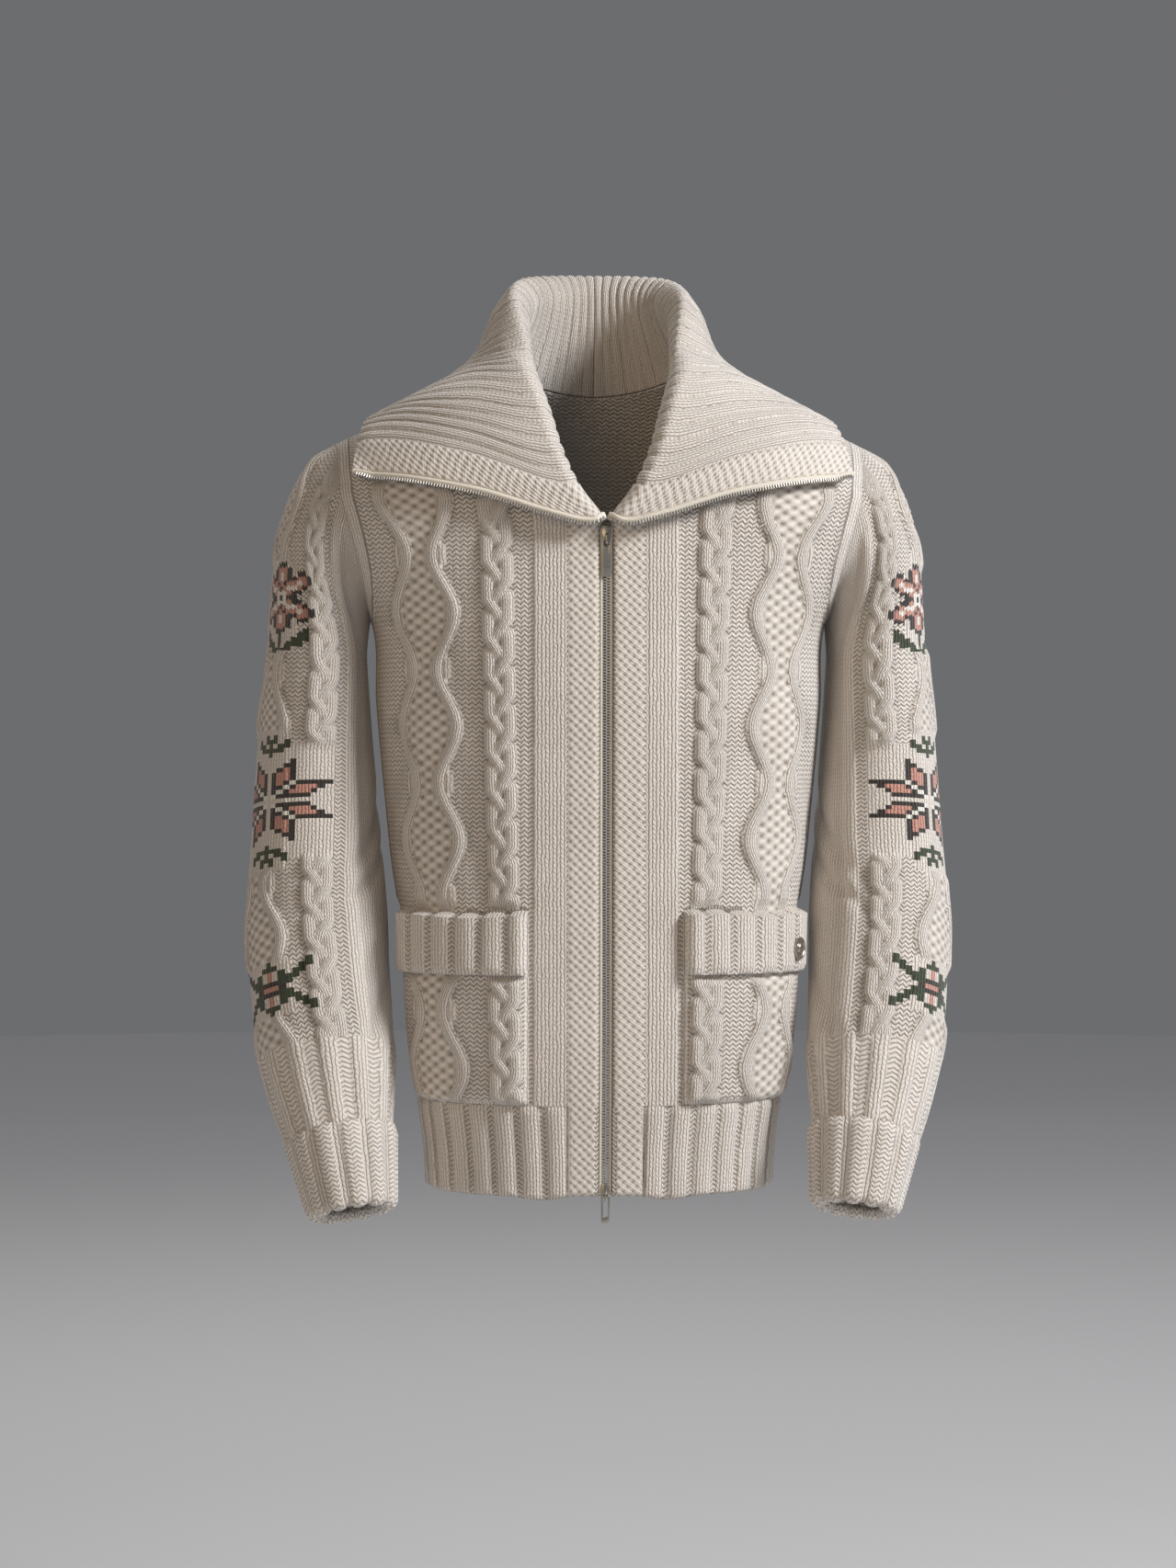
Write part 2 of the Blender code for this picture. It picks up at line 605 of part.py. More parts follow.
# ---- pockets -----------------------------------------------------------------------------------------------
def raised_patch(half, rows, places_at, relief_at, stand, name):
    """A piece that lies on a front: the front's own points, moved out by `stand`."""
    base, rise = [], []
    for z in rows:
        z = round(z, 6)
        across = np.array(places_at(z))
        base.append(torso_point(half * across, z, "front"))
        rise.append(relief_at(across, z))
    base, rise = np.array(base), np.array(rise)
    length = np.cumsum(np.linalg.norm(np.diff(base, axis=1), axis=-1), axis=1)
    across = np.concatenate([np.zeros((len(base), 1)), length], axis=1) + POCKET[0]
    normals = grid_normals(base) * half
    depth = folds(FRONT_FOLDS, across, base[..., 2]) * np.clip((base[..., 2] - RIB_TOP) / 0.03, 0, 1)
    base = base + normals * (stand - depth)[..., None]
    used = np.ones(rise.shape, bool)
    wall(name, base, rise, used, spread(rows, 5), spread(base[0], 10), flip=half < 0)


def build_pocket(half):
    """A patch pocket with the front's cable and diamond, flat under its turned-down welt."""
    def places(z):
        cable, middle, strand = (float(v) for v in (band("cable", z), band("diamond", z), strand_place(z)))
        ridge = (-STRAND_HALF, -0.55 * STRAND_HALF, 0.55 * STRAND_HALF, STRAND_HALF)
        found = [POCKET[0]] + [cable + share * CABLE_HALF for share in (-1, -0.5, 0, 0.5, 1)]
        found += [middle - strand + s for s in ridge] + [middle] + [middle + strand + s for s in ridge]
        return found + [POCKET[1]]

    def relief(across, z):
        cable = CABLE_RISE * plait(across - band("cable", z), z, LOBE_START[half])
        from_diamond = across - band("diamond", z)
        rise = cable + np.where(np.abs(from_diamond) < 0.040, diamond(from_diamond, z), 0)
        return np.where(z > WELT_LOW - 0.004, 0.0, rise)

    name = "pocket_left" if half > 0 else "pocket_right"
    rows = rows_between(POCKET[2], WELT_LOW - 0.002, FINE_ROW) + [-0.490, POCKET[3]]
    raised_patch(half, rows, places, relief, WALL + POCKET_STAND, name)


def build_welt(half):
    """The ribbed band at the pocket's mouth, turned down over its front."""
    inner, outer = POCKET[0] + 0.001, POCKET[1] - 0.001
    pitch = (outer - inner) / WELT_RIBS
    places, tops = rib_profile(WELT_RIBS, inner, pitch, 0.62 * pitch)
    places.append(outer)
    tops.append(0)

    def relief(across, z):
        return np.array(tops) * HEM_RIB[3] * 0.8

    stand = 2 * WALL + 2 * POCKET_STAND
    name = "pocket_welt_left" if half > 0 else "pocket_welt_right"
    raised_patch(half, rows_between(WELT_LOW, POCKET[3] + 0.001, 0.028), lambda z: places, relief, stand, name)


# ---- sleeves and cuffs -------------------------------------------------------------------------------------
RING = np.linspace(0, 2 * math.pi, 145)[:-1]


@functools.lru_cache(maxsize=None)
def armhole_ring():
    """The armhole seam on the wearer's left, from the shoulder's tip round the front, with its outward frame."""
    lift = 0.5 * (1 + np.cos(RING))
    heights = UNDERARM + (SHOULDER_TIP[1] - UNDERARM) * lift
    points, normals = [], []
    for turn, z in zip(RING, heights):
        side = "front" if turn <= math.pi else "back"
        z = float(z)
        facing = -1 if side == "front" else 1
        x = float(armhole(z))
        low = min(z, CHEST)
        body = float(torso("half_width", low))
        scaled = x * float(armhole(low)) / x if z > CHEST else x
        y = float(torso(side, low)) * max(1 - (scaled / body) ** SIDE_POWER, 0) ** (1 / SIDE_POWER)
        if z > CHEST:
            share = min((z - CHEST) / (SHOULDER_TIP[1] - CHEST), 1.0)
            y *= max(1 - share**SHOULDER_POWER, 0) ** (1 / SHOULDER_POWER)
        points.append((x, facing * y, z))
        over = max(z - CHEST, 0) / 0.085
        normals.append((0.35 + 0.65 * (1 - abs(y) / 0.075), facing * (abs(y) / 0.075) * 1.1, over * 1.3))
    points = np.array(points)
    along = np.roll(points, -1, axis=0) - np.roll(points, 1, axis=0)
    outward = unit(np.cross(unit(np.array(normals)), unit(along)))
    return points, unit(np.array(normals)), outward


@functools.lru_cache(maxsize=None)
def arm_frames():
    """Middle, outward axis, forward axis and half sizes of a sleeve's rings, finely spaced."""
    table = {name: np.array(column(SLEEVE, SLEEVE_COLUMNS, name)) for name in SLEEVE_COLUMNS}
    knots = np.concatenate([[0], np.cumsum(np.hypot(np.diff(table["middle_z"]), np.diff(table["middle_y"])))])
    at = np.linspace(0, knots[-1], 121)
    read = {name: smooth(at, knots, values) for name, values in table.items()}
    middle = np.stack([(read["outer"] + read["inner"]) / 2, read["middle_y"], read["middle_z"]], axis=-1)
    along = unit(np.gradient(middle, axis=0))
    outward = unit(np.array([1.0, 0, 0]) - along[:, :1] * along)
    forward = np.cross(outward, along)
    forward *= np.sign(-forward[:, 1:2])
    half_width = (read["outer"] - read["inner"]) / 2 / outward[:, 0]
    return at, middle, outward, forward, half_width, read["half_depth"]


def sleeve_ring(distance, inset=0.0):
    """Points of the ring at a distance below the first one."""
    at, middle, outward, forward, half_width, half_depth = arm_frames()

    def pick(values):
        if values.ndim == 1:
            return np.interp(distance, at, values)
        return np.array([np.interp(distance, at, values[:, k]) for k in range(3)])

    centre, out, front = pick(middle), unit(pick(outward)), unit(pick(forward))
    wide, deep = pick(half_width) - inset, pick(half_depth) - inset
    return centre + np.cos(RING)[:, None] * out * wide + np.sin(RING)[:, None] * front * deep


def cap_ring(share):
    """Points of a ring of the sleeve's cap, from the armhole (0) to the first full ring (1)."""
    start, _, outward = armhole_ring()
    end = sleeve_ring(0.0)
    below = sleeve_ring(0.01) - end
    reach = np.linalg.norm(end - start, axis=-1, keepdims=True)
    leave = outward * reach * (0.75 + 0.35 * np.cos(RING)[:, None])
    arrive = unit(below) * reach * 1.05
    t = share
    return (start * (2 * t**3 - 3 * t**2 + 1) + end * (3 * t**2 - 2 * t**3)
            + leave * (t**3 - 2 * t**2 + t) + arrive * (t**3 - t**2))


def around(ring, distances, start):
    """Points at distances round a ring, forwards positive, from the angle `start`."""
    closed = np.concatenate([ring, ring[:1]])
    arc = np.concatenate([[0], np.cumsum(np.linalg.norm(np.diff(closed, axis=0), axis=-1))])
    origin = np.interp(start, np.append(RING, 2 * math.pi), arc)
    place = (origin + np.asarray(distances)) % arc[-1]
    return np.stack([np.interp(place, arc, closed[:, k]) for k in range(3)], axis=-1), arc[-1]


def ring_length(ring):
    return float(np.linalg.norm(np.roll(ring, -1, axis=0) - ring, axis=-1).sum())


# The three flat fields on each sleeve: middle height and half height
FIELDS = ((-0.195, 0.037), (-0.373, 0.066), (-0.541, 0.023))
SLEEVE_CABLE = 0.0640   # middle of the cable from the sleeve's outer line
SLEEVE_EDGE = (0.0885, 0.1015)


def in_field(z):
    """1 inside a flat field of the diamond column, 0 outside."""
    found = np.zeros(np.shape(z))
    for middle, half in FIELDS:
        found = np.maximum(found, np.clip((half - np.abs(np.asarray(z) - middle)) / 0.006 + 0.5, 0, 1))
    return found


def sleeve_columns(z, length):
    """Distances round the sleeve from its outer line, which need every fine row, and their rise."""
    strand = float(strand_place(z))
    field = float(in_field(z))
    ridge = ((-STRAND_HALF, 0), (-0.55 * STRAND_HALF, 1), (0.55 * STRAND_HALF, 1), (STRAND_HALF, 0))
    half = [(strand + step, field < 1, STRAND_RISE * top * (1 - field)) for step, top in ridge]
    middle_field = float(np.clip((FIELDS[1][1] - 0.012 - abs(z - FIELDS[1][0])) / 0.006, 0, 1))
    cable = []
    for share in (-1, -0.5, 0, 0.5, 1):
        level = float(plait(share * CABLE_HALF, z, 0.0)) * CABLE_RISE * (1 - middle_field)
        cable.append((SLEEVE_CABLE + share * CABLE_HALF, middle_field < 1, level))
    edge = [(SLEEVE_EDGE[0], 0, 0), (SLEEVE_EDGE[0] + 0.001, 0, EDGE_RISE),
            (SLEEVE_EDGE[1], 0, EDGE_RISE), (SLEEVE_EDGE[1] + 0.001, 0, 0)]
    forward = half + cable + edge
    spare = length / 2 - SLEEVE_EDGE[1] - 0.001
    plain = [(SLEEVE_EDGE[1] + 0.001 + spare * k / 4, 0, 0) for k in (1, 2, 3, 4)]
    seed = [(0.0, 0, SEED_RISE * (1 - field))]
    backward = [(-place, every, rise) for place, every, rise in (forward + plain[:3])[::-1]]
    return backward + seed + forward + plain


def sleeve_fold_depth(distance, z):
    depth = np.zeros(np.shape(distance))
    for at, height, half_width, half_length, lean, deep in SLEEVE_FOLDS:
        away = distance - at - lean * (z - height) * np.sign(at)
        depth += deep * np.exp(-((away / half_width) ** 2) - ((z - height) / half_length) ** 2)
    return depth


def sleeve_heights():
    """Shares of the cap and distances down the arm of the sleeve's mesh rows."""
    cap = [0.0, 0.03, 0.08, 0.15, 0.23, 0.32, 0.41, 0.50, 0.59, 0.68, 0.77, 0.86, 0.93]
    at = arm_frames()[0]
    cuff_start = at[-1] - CUFF_HEIGHT
    rib_start = cuff_start - SLEEVE_RIB
    fine = list(np.arange(0.0, rib_start - 0.003, FINE_ROW * 1.35))
    return cap, fine, rib_start, cuff_start, at[-1]


def build_sleeve(half):
    """One sleeve: the cap, the patterned arm, its rib and the plain end inside the cuff."""
    cap, fine, rib_start, cuff_start, end = sleeve_heights()
    rings = [(cap_ring(share), share < 0.02, True) for share in cap]
    rings += [(sleeve_ring(distance), False, True) for distance in fine]
    lower = [rib_start, rib_start + 0.004, (rib_start + cuff_start) / 2, cuff_start - 0.004]
    rings += [(sleeve_ring(distance), False, distance == rib_start) for distance in lower]
    inside = [cuff_start + 0.001, end - 0.006]
    rings += [(sleeve_ring(distance, CUFF_INSET), False, False) for distance in inside]
    base, rise, needed = [], [], []
    for index, (ring, at_seam, patterned) in enumerate(rings):
        length = ring_length(ring)
        turn = SLEEVE_TURN * min(index / 8, 1.0)
        z = float(ring[:, 2].mean()) if index > len(cap) else float(ring[np.argmin(RING)][2])
        spec = sleeve_columns(z, length)
        distances = np.array([d for d, _, _ in spec])
        points, _ = around(ring, distances, turn)
        relief = np.array([r for _, _, r in spec])
        if at_seam or not patterned:
            relief = relief * 0
        elif index < 4:
            relief = relief * 0.5
        base.append(points)
        rise.append(relief)
        needed.append([bool(every) for _, every, _ in spec])
    base, rise = np.array(base), np.array(rise)
    ribbed = slice(len(cap) + len(fine) + 1, len(cap) + len(fine) + len(lower))
    columns = base.shape[1]
    rise[ribbed] = np.where(np.arange(columns) % 4 < 2, CUFF_RIB[2], 0.0)
    used = np.array(needed)
    total = len(rings)
    coarse = {0, 1, 2, 4, 6, 9} | set(range(len(cap), total - len(lower) - len(inside), 5))
    coarse |= set(range(total - len(lower) - len(inside), total))
    used[sorted(coarse)] = True
    normals = grid_normals(base, closed=True)
    if np.einsum("i,i", normals[len(cap) + 3, columns // 2], np.array([1.0, -0.4, 0])) < 0:
        normals = -normals
    for index in range(len(cap), total):
        z = float(base[index, :, 2].mean())
        distances = np.array([d for d, _, _ in sleeve_columns(z, ring_length(rings[index][0]))])
        base[index] -= normals[index] * sleeve_fold_depth(distances, z)[:, None]
    shift = np.array([ARMHOLE_GAP, 0, 0])
    base = base + shift
    if half < 0:
        base = base * np.array([-1.0, 1, 1])
        normals = normals * np.array([-1.0, 1, 1])
    inner_rows = [0, 2, 5, 9, len(cap)] + list(range(len(cap) + 4, len(cap) + len(fine), 6))
    inner_rows += [total - 6, total - 3, total - 2, total - 1]
    inner_columns = list(range(0, columns, 3))
    name = "sleeve_left" if half > 0 else "sleeve_right"
    wall(name, base, rise, used, sorted(set(inner_rows)), inner_columns, closed=True, normals=normals)


def build_cuff(half):
    """The cuff, turned back over the sleeve's end, with its own wide ribs."""
    end = arm_frames()[0][-1]
    count, share, rise_by = CUFF_RIB
    base = []
    for distance in (end - 0.003, end - 0.5 * CUFF_HEIGHT, end - CUFF_HEIGHT + 0.002):
        ring = sleeve_ring(distance)
        length = ring_length(ring)
        pitch = length / count
        places, tops = rib_profile(count, 0.0, pitch, share * pitch)
        base.append(around(ring, places, 0.0)[0])
    base = np.array(base)
    normals = grid_normals(base, closed=True)
    middle = base.mean(axis=1, keepdims=True)
    if np.sum(normals * (base - middle)) < 0:
        normals = -normals
    if half < 0:
        base = base * np.array([-1.0, 1, 1])
        normals = normals * np.array([-1.0, 1, 1])
    rise = np.tile(np.array(tops) * rise_by, (len(base), 1))
    used = np.ones(rise.shape, bool)
    name = "cuff_left" if half > 0 else "cuff_right"
    inner_columns = list(range(0, base.shape[1], 2))
    wall(name, base, rise, used, [0, 1, 2], inner_columns, closed=True, normals=normals)


# ---- collar ------------------------------------------------------------------------------------------------
@functools.lru_cache(maxsize=None)
def neck_seam():
    """The neck seam on the wearer's left, on the body's inner face, finely spaced from the V to the back."""
    share = np.linspace(0, 1, 60)
    x = NECK_V[0] + (NECK_POINT[0] - NECK_V[0]) * share
    front = np.array([neck_point(value, "front") for value in x])
    x = NECK_POINT[0] * np.cos(share * math.pi / 2)
    back = np.array([neck_point(value, "back") for value in x])
    parts = []
    for part in (front, back):
        arc = np.concatenate([[0], np.cumsum(np.linalg.norm(np.diff(part, axis=0), axis=-1))])
        even = np.linspace(0, arc[-1], 60)
        parts.append(np.stack([np.interp(even, arc, part[:, k]) for k in range(3)], axis=-1))
    places = np.concatenate([share * NECK_SHARE, NECK_SHARE + share[1:] * (1 - NECK_SHARE)])
    return places, np.concatenate([parts[0], parts[1][1:]])


def neck_point(x, side):
    """A point of the neckline, one wall thickness inside the body's outer face."""
    height = float(top_height(x, side))
    body = x * float(armhole(CHEST)) / float(armhole(max(height, CHEST)))
    depth = float(torso(side, CHEST)) * (1 - (body / float(torso("half_width", CHEST))) ** SIDE_POWER) ** 0.4
    rise = float(crown(body)) - CHEST
    share = min(max((height - CHEST) / rise, 0), 1)
    depth *= (1 - share**SHOULDER_POWER) ** (1 / SHOULDER_POWER)
    depth = max(depth - WALL, 0.0)
    if side == "front":
        inward = 0.0019 * max(math.sin(math.pi * (x - NECK_V[0]) / (NECK_POINT[0] - NECK_V[0])), 0) ** 0.4
        return (x - inward, -depth, height + NECK_GAP)
    return (x, depth, height + NECK_GAP)


def mirrored_table(name):
    """A collar column over the whole collar, place 0 to 2, with x turned round on the second half."""
    values = np.array(column(COLLAR, COLLAR_COLUMNS, name))
    if name == "heading":
        return np.concatenate([values, 360 - values[-2::-1]])
    sign = -1 if name.endswith("_x") else 1
    return np.concatenate([values, sign * values[-2::-1]])


def lay_on_shoulders(points):
    """Moves the collar's points out until they stand clear of the shoulders."""
    x = np.minimum(np.abs(points[..., 0]), SHOULDER_TIP[0])
    side = np.where(points[..., 1] < 0, torso("front", CHEST), torso("back", CHEST))
    body = x * armhole(CHEST) / armhole(np.clip(points[..., 2], CHEST, SHOULDER_TIP[1]))
    wide = side * (1 - np.clip(body / torso("half_width", CHEST), 0, 1) ** SIDE_POWER) ** 0.4
    tall = crown(body) - CHEST
    up = np.maximum(points[..., 2] - CHEST, 0)
    reach = ((np.abs(points[..., 1]) / wide) ** SHOULDER_POWER + (up / tall) ** SHOULDER_POWER)
    reach = reach ** (1 / SHOULDER_POWER)
    front = np.clip((-0.06 - points[..., 2]) / 0.03, 0, 1) * (points[..., 1] < 0)
    least = 1 + COLLAR_LAY + (COLLAR_LAY_FRONT - COLLAR_LAY) * front
    grow = np.maximum(least / np.maximum(reach, 0.3), 1.0)
    moved = points.copy()
    moved[..., 1] *= grow
    moved[..., 2] = CHEST + (points[..., 2] - CHEST) * np.where(up > 0, grow, 1)
    return moved


def fold_place(place):
    places = mirrored_places()
    return np.array([float(smooth(place, places, mirrored_table(name)))
                     for name in ("fold_x", "fold_y", "fold_z")])


def collar_section(place):
    """Ten points of one section of the collar's visible face, from the neck seam over the roll to the edge."""
    places = mirrored_places()
    read = {name: float(smooth(place, places, mirrored_table(name))) for name in COLLAR_COLUMNS[1:]}
    seam_places, seam_points = neck_seam()
    seam = np.array([np.interp(min(place, 2 - place), seam_places, seam_points[:, k]) for k in range(3)])
    seam[0] *= 1 if place <= 1 else -1
    fold = fold_place(place)
    fall = np.array([read["fall_x"], read["fall_y"], read["fall_z"]])
    edge = np.array([read["edge_x"], read["edge_y"], read["edge_z"]])
    along = unit(fold_place(min(place + 0.03, 2)) - fold_place(max(place - 0.03, 0)))
    turn = math.radians(read["heading"])
    over = np.array([math.sin(turn), -math.cos(turn), 0.0])
    over = unit(over - along * (over @ along))
    crest = np.cross(over, along)
    middle = fold - crest * read["roll"]
    before, after = middle - over * read["roll"], middle + over * read["roll"]
    knots = np.array([seam, before, fold, after, fall, edge])
    arc = np.concatenate([[0], np.cumsum(np.linalg.norm(np.diff(knots, axis=0), axis=-1) ** 0.75)])
    spots = [0, 1, 1.5, 2, 2.5, 3, 3.5, 4, 4.5, 5]
    rows = np.interp(spots, range(6), arc)
    curve = np.stack([smooth(rows, arc, knots[:, k]) for k in range(3)], axis=-1)
    curve[5:] = lay_on_shoulders(curve[5:])
    return curve


def mirrored_places():
    places = np.array(column(COLLAR, COLLAR_COLUMNS, "place"))
    return np.concatenate([places, 2 - places[-2::-1]])


def build_collar():
    """The tall rib collar, one piece from zip edge to zip edge."""
    half = [0.0, 0.45 * COLLAR_MOSS, 0.95 * COLLAR_MOSS]
    tops = [0, 0.6, 0.6]
    pitch = (1 - COLLAR_MOSS) / COLLAR_RIBS
    for k in range(COLLAR_RIBS):
        start = COLLAR_MOSS + k * pitch
        half += [start + 0.25 * pitch, start + 0.75 * pitch]
        tops += [0, 1]
    places = half + [2 - place for place in half[::-1]]
    tops = np.array(tops + tops[::-1])
    base = np.array([collar_section(place) for place in places]).transpose(1, 0, 2)
    rise = np.tile((tops - 0.5) * 0.0022, (base.shape[0], 1))
    rise[:, [0, -1]] = 0.0
    used = np.ones(rise.shape, bool)
    first_half = spread(places[:len(places) // 2 + 1], 15)
    inner_columns = sorted(set(first_half + [len(places) - 1 - k for k in first_half]))
    wall("collar", base, rise, used, [0, 2, 3, 4, 5, 7, 8, 9], inner_columns, flip=collar_flip(base))


def collar_flip(base):
    """Whether the grid's normals point into the collar at the back, where the fall must face out."""
    normals = grid_normals(base)
    return bool(normals[-2, base.shape[1] // 2, 1] < 0)


# ---- zip ---------------------------------------------------------------------------------------------------
def zip_path():
    """The zip's line on the wearer's left: points, the way off the cloth's edge, the way towards the cloth's
    inner face, and the tape's reach onto the cloth."""
    heights = np.linspace(HEM_HEIGHT + 0.001, NECK_V[1] - 0.004, 10)
    rows = []
    for z in heights:
        point = torso_point(np.array([NECK_V[0]]), round(float(z), 6), "front")[0]
        rows.append((point + np.array([0, WALL, 0]), np.array([-1.0, 0, 0]), np.array([0, 1.0, 0]), ZIP_TAPE[0]))
    edge, beside = collar_section(0.0), collar_section(0.02)
    along = unit(np.gradient(edge, axis=0))
    out = unit(edge - beside)
    out = unit(out - along * np.sum(out * along, axis=-1, keepdims=True))
    face = np.cross(along, out)
    face *= np.sign(face[0, 1])
    rows += [(edge[k], out[k], face[k], ZIP_TAPE[1]) for k in (0, *range(2, 10))]
    return rows


def build_zip_half(half):
    """One half of the zip: its tape and the row of teeth as one bead."""
    near, far = ZIP_TAPE[2:]
    first, last, front, back = ZIP_BEAD
    mesh = bmesh.new()
    rings = []
    for point, out, face, end in zip_path():
        profile = [(end, near), (first, near), (first, front), (last, front), (last, back), (first, back),
                   (first, far), (end, far)]
        places = np.array([point + out * a + face * b for a, b in profile])
        places[:, 0] = half * np.maximum(places[:, 0], SEAM)
        rings.append([mesh.verts.new(place) for place in places])
    for one, other in zip(rings, rings[1:]):
        for k in range(8):
            after = (k + 1) % 8
            mesh.faces.new((one[k], one[after], other[after], other[k]))
    mesh.faces.new(rings[0])
    mesh.faces.new(rings[-1])
    name = "zip_left" if half > 0 else "zip_right"
    finish(name, mesh, f"{name} tape and teeth", TAPE, 0.7)


def rounded_rectangle(width, height, radius, corner=4):
    """Outline points, anticlockwise, centred on the origin."""
    points = []
    for k, (sx, sy) in enumerate(((1, 1), (-1, 1), (-1, -1), (1, -1))):
        for step in range(corner):
            turn = math.pi / 2 * (k + step / (corner - 1))
            points.append((sx * (width / 2 - radius) + radius * math.cos(turn),
                           sy * (height / 2 - radius) + radius * math.sin(turn)))
    return points


def pierced_plate(outer, inner, thickness, place):
    """A plate with one hole as a bmesh.  `place` turns outline coordinates and depth into a point."""
    mesh = bmesh.new()
    loops = []
    for outline, depth in ((outer, 0), (outer, thickness), (inner, thickness), (inner, 0)):
        loops.append([mesh.verts.new(place(a, b, depth)) for a, b in outline])
    count = len(outer)
    for one, other in zip(loops, loops[1:] + loops[:1]):
        for k in range(count):
            after = (k + 1) % count
            mesh.faces.new((one[k], one[after], other[after], other[k]))
    return mesh


def zip_face(z):
    """Depth of the slider's front face at a height."""
    inner_face = float(torso_point(np.array([NECK_V[0]]), round(z, 6), "front")[0][1]) + WALL
    return inner_face + ZIP_BEAD[2] - SLIDER_GAP - SLIDER_SIZE[2]


def build_slider(name, z, up):
    """A slider's body with the bridge that holds its pull.  `up` is 1 on the upper one, -1 on the lower."""
    width, height, depth = SLIDER_SIZE
    face = zip_face(z)
    mesh = bmesh.new()
    outline = [(-0.32, -0.5), (0.32, -0.5), (0.5, 0.15), (0.5, 0.42), (0.3, 0.5), (-0.3, 0.5), (-0.5, 0.42),
               (-0.5, 0.15)]
    loops = []
    for y in (face, face + depth):
        loops.append([mesh.verts.new((a * width, y, z + up * b * height)) for a, b in outline])
    count = len(outline)
    for k in range(count):
        after = (k + 1) % count
        mesh.faces.new((loops[0][k], loops[0][after], loops[1][after], loops[1][k]))
    mesh.faces.new(loops[0])
    mesh.faces.new(loops[1][::-1])
    body = finish(name, mesh, f"{name} steel", STEEL, 0.3, 1.0)
    bridge_outer = rounded_rectangle(0.0100, 0.0068, 0.0026)
    bridge_inner = rounded_rectangle(0.0074, 0.0040, 0.0014)
    ring = pierced_plate(bridge_outer, bridge_inner, 0.0018,
                         lambda a, b, d: (d - 0.0009, face - PIVOT_STAND - 0.0001 + b, z - PIVOT_DROP + a))
    bridge = finish(f"{name}_bridge", ring, f"{name} steel", STEEL, 0.3, 1.0)
    bridge.hide_render = True
    bridge.display_type = "WIRE"
    join = body.modifiers.new("bridge", "BOOLEAN")
    join.operation = "UNION"
    join.object = bridge
    return body


def build_pull(name, size, z, hole):
    """A pull tab that hangs from its slider, with its origin on the hinge's axis."""
    width, length, thickness = size
    outer = rounded_rectangle(width, length, 0.0018)
    slot = rounded_rectangle(0.0042, hole, 0.0012)
    top_bar = 0.0016
    centre = -length / 2 + top_bar / 2
    slot_centre = -hole / 2 - top_bar / 2
    mesh = pierced_plate(
        [(a, b + centre) for a, b in outer], [(a, b + slot_centre) for a, b in slot], thickness,
        lambda a, b, d: (a, d - thickness / 2, b))
    pull = finish(name, mesh, f"{name} steel", STEEL, 0.28, 1.0)
    pull.location = (0, zip_face(z) - PIVOT_STAND, z - PIVOT_DROP)
    return pull


def build_snap():
    """The round snap on the left pocket's welt, turned from its profile."""
    point = torso_point(np.array([SNAP_PLACE[0]]), SNAP_PLACE[1], "front")[0]
    beside = torso_point(np.array([SNAP_PLACE[0] + 0.002]), SNAP_PLACE[1], "front")[0]
    across = unit(beside - point)
    normal = np.array([across[1], -across[0], 0.0])
    normal *= np.sign(-normal[1])
    stand = 2 * WALL + 2 * POCKET_STAND + HEM_RIB[3] * 0.8 + SEAM
    profile = ((0.0, 0.0), (1.0, 0.0), (1.0, 0.0012), (0.92, 0.0020), (0.80, 0.0020), (0.74, 0.0010),
               (0.52, 0.0010), (0.46, 0.0026), (0.20, 0.0030), (0.0, 0.0030))
    mesh = bmesh.new()
    ring = [mesh.verts.new((share * SNAP_RADIUS, 0, height)) for share, height in profile]
    edges = [mesh.edges.new(pair) for pair in zip(ring, ring[1:])]
    bmesh.ops.spin(mesh, geom=ring + edges, cent=(0, 0, 0), axis=(0, 0, 1), angle=2 * math.pi, steps=16,
                   use_merge=True, use_duplicate=False)
    bmesh.ops.remove_doubles(mesh, verts=mesh.verts, dist=1e-6)
    snap = finish("pocket_snap", mesh, "pocket_snap steel", STEEL, 0.3, 1.0)
    snap.location = tuple(point + normal * stand)
    snap.rotation_mode = "QUATERNION"
    snap.rotation_quaternion = Vector((0, 0, 1)).rotation_difference(Vector(normal))
    return snap


def main():
    for old in list(bpy.data.objects):
        bpy.data.objects.remove(old, do_unlink=True)
    bpy.context.scene.unit_settings.scale_length = 1.0
    for half, hem_name in ((1, "hem_left"), (-1, "hem_right")):
        build_front(half)
        build_hem(hem_name, "front", half)
        build_pocket(half)
        build_welt(half)
        build_sleeve(half)
        build_cuff(half)
        build_zip_half(half)
    build_back()
    build_hem("hem_back", "back", 1)
    build_collar()
    build_slider("zip_slider_upper", UPPER_SLIDER, 1)
    build_slider("zip_slider_lower", LOWER_SLIDER, -1)
    build_pull("zip_pull_upper", UPPER_PULL, UPPER_SLIDER, 0.0064)
    build_pull("zip_pull_lower", LOWER_PULL, LOWER_SLIDER, 0.0170)
    build_snap()


main()
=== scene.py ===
"""Looks of the zip-up cable-knit cardigan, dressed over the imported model.

Metres, +Z up.  The fronts face -Y and the wearer's left is +X.  Every cloth piece is a closed knitted sheet
whose outer face carries the relief, with one finish for each kind of stitch.
"""

import functools
import math

import bmesh
import bpy
import numpy as np
from mathutils import Matrix, Vector


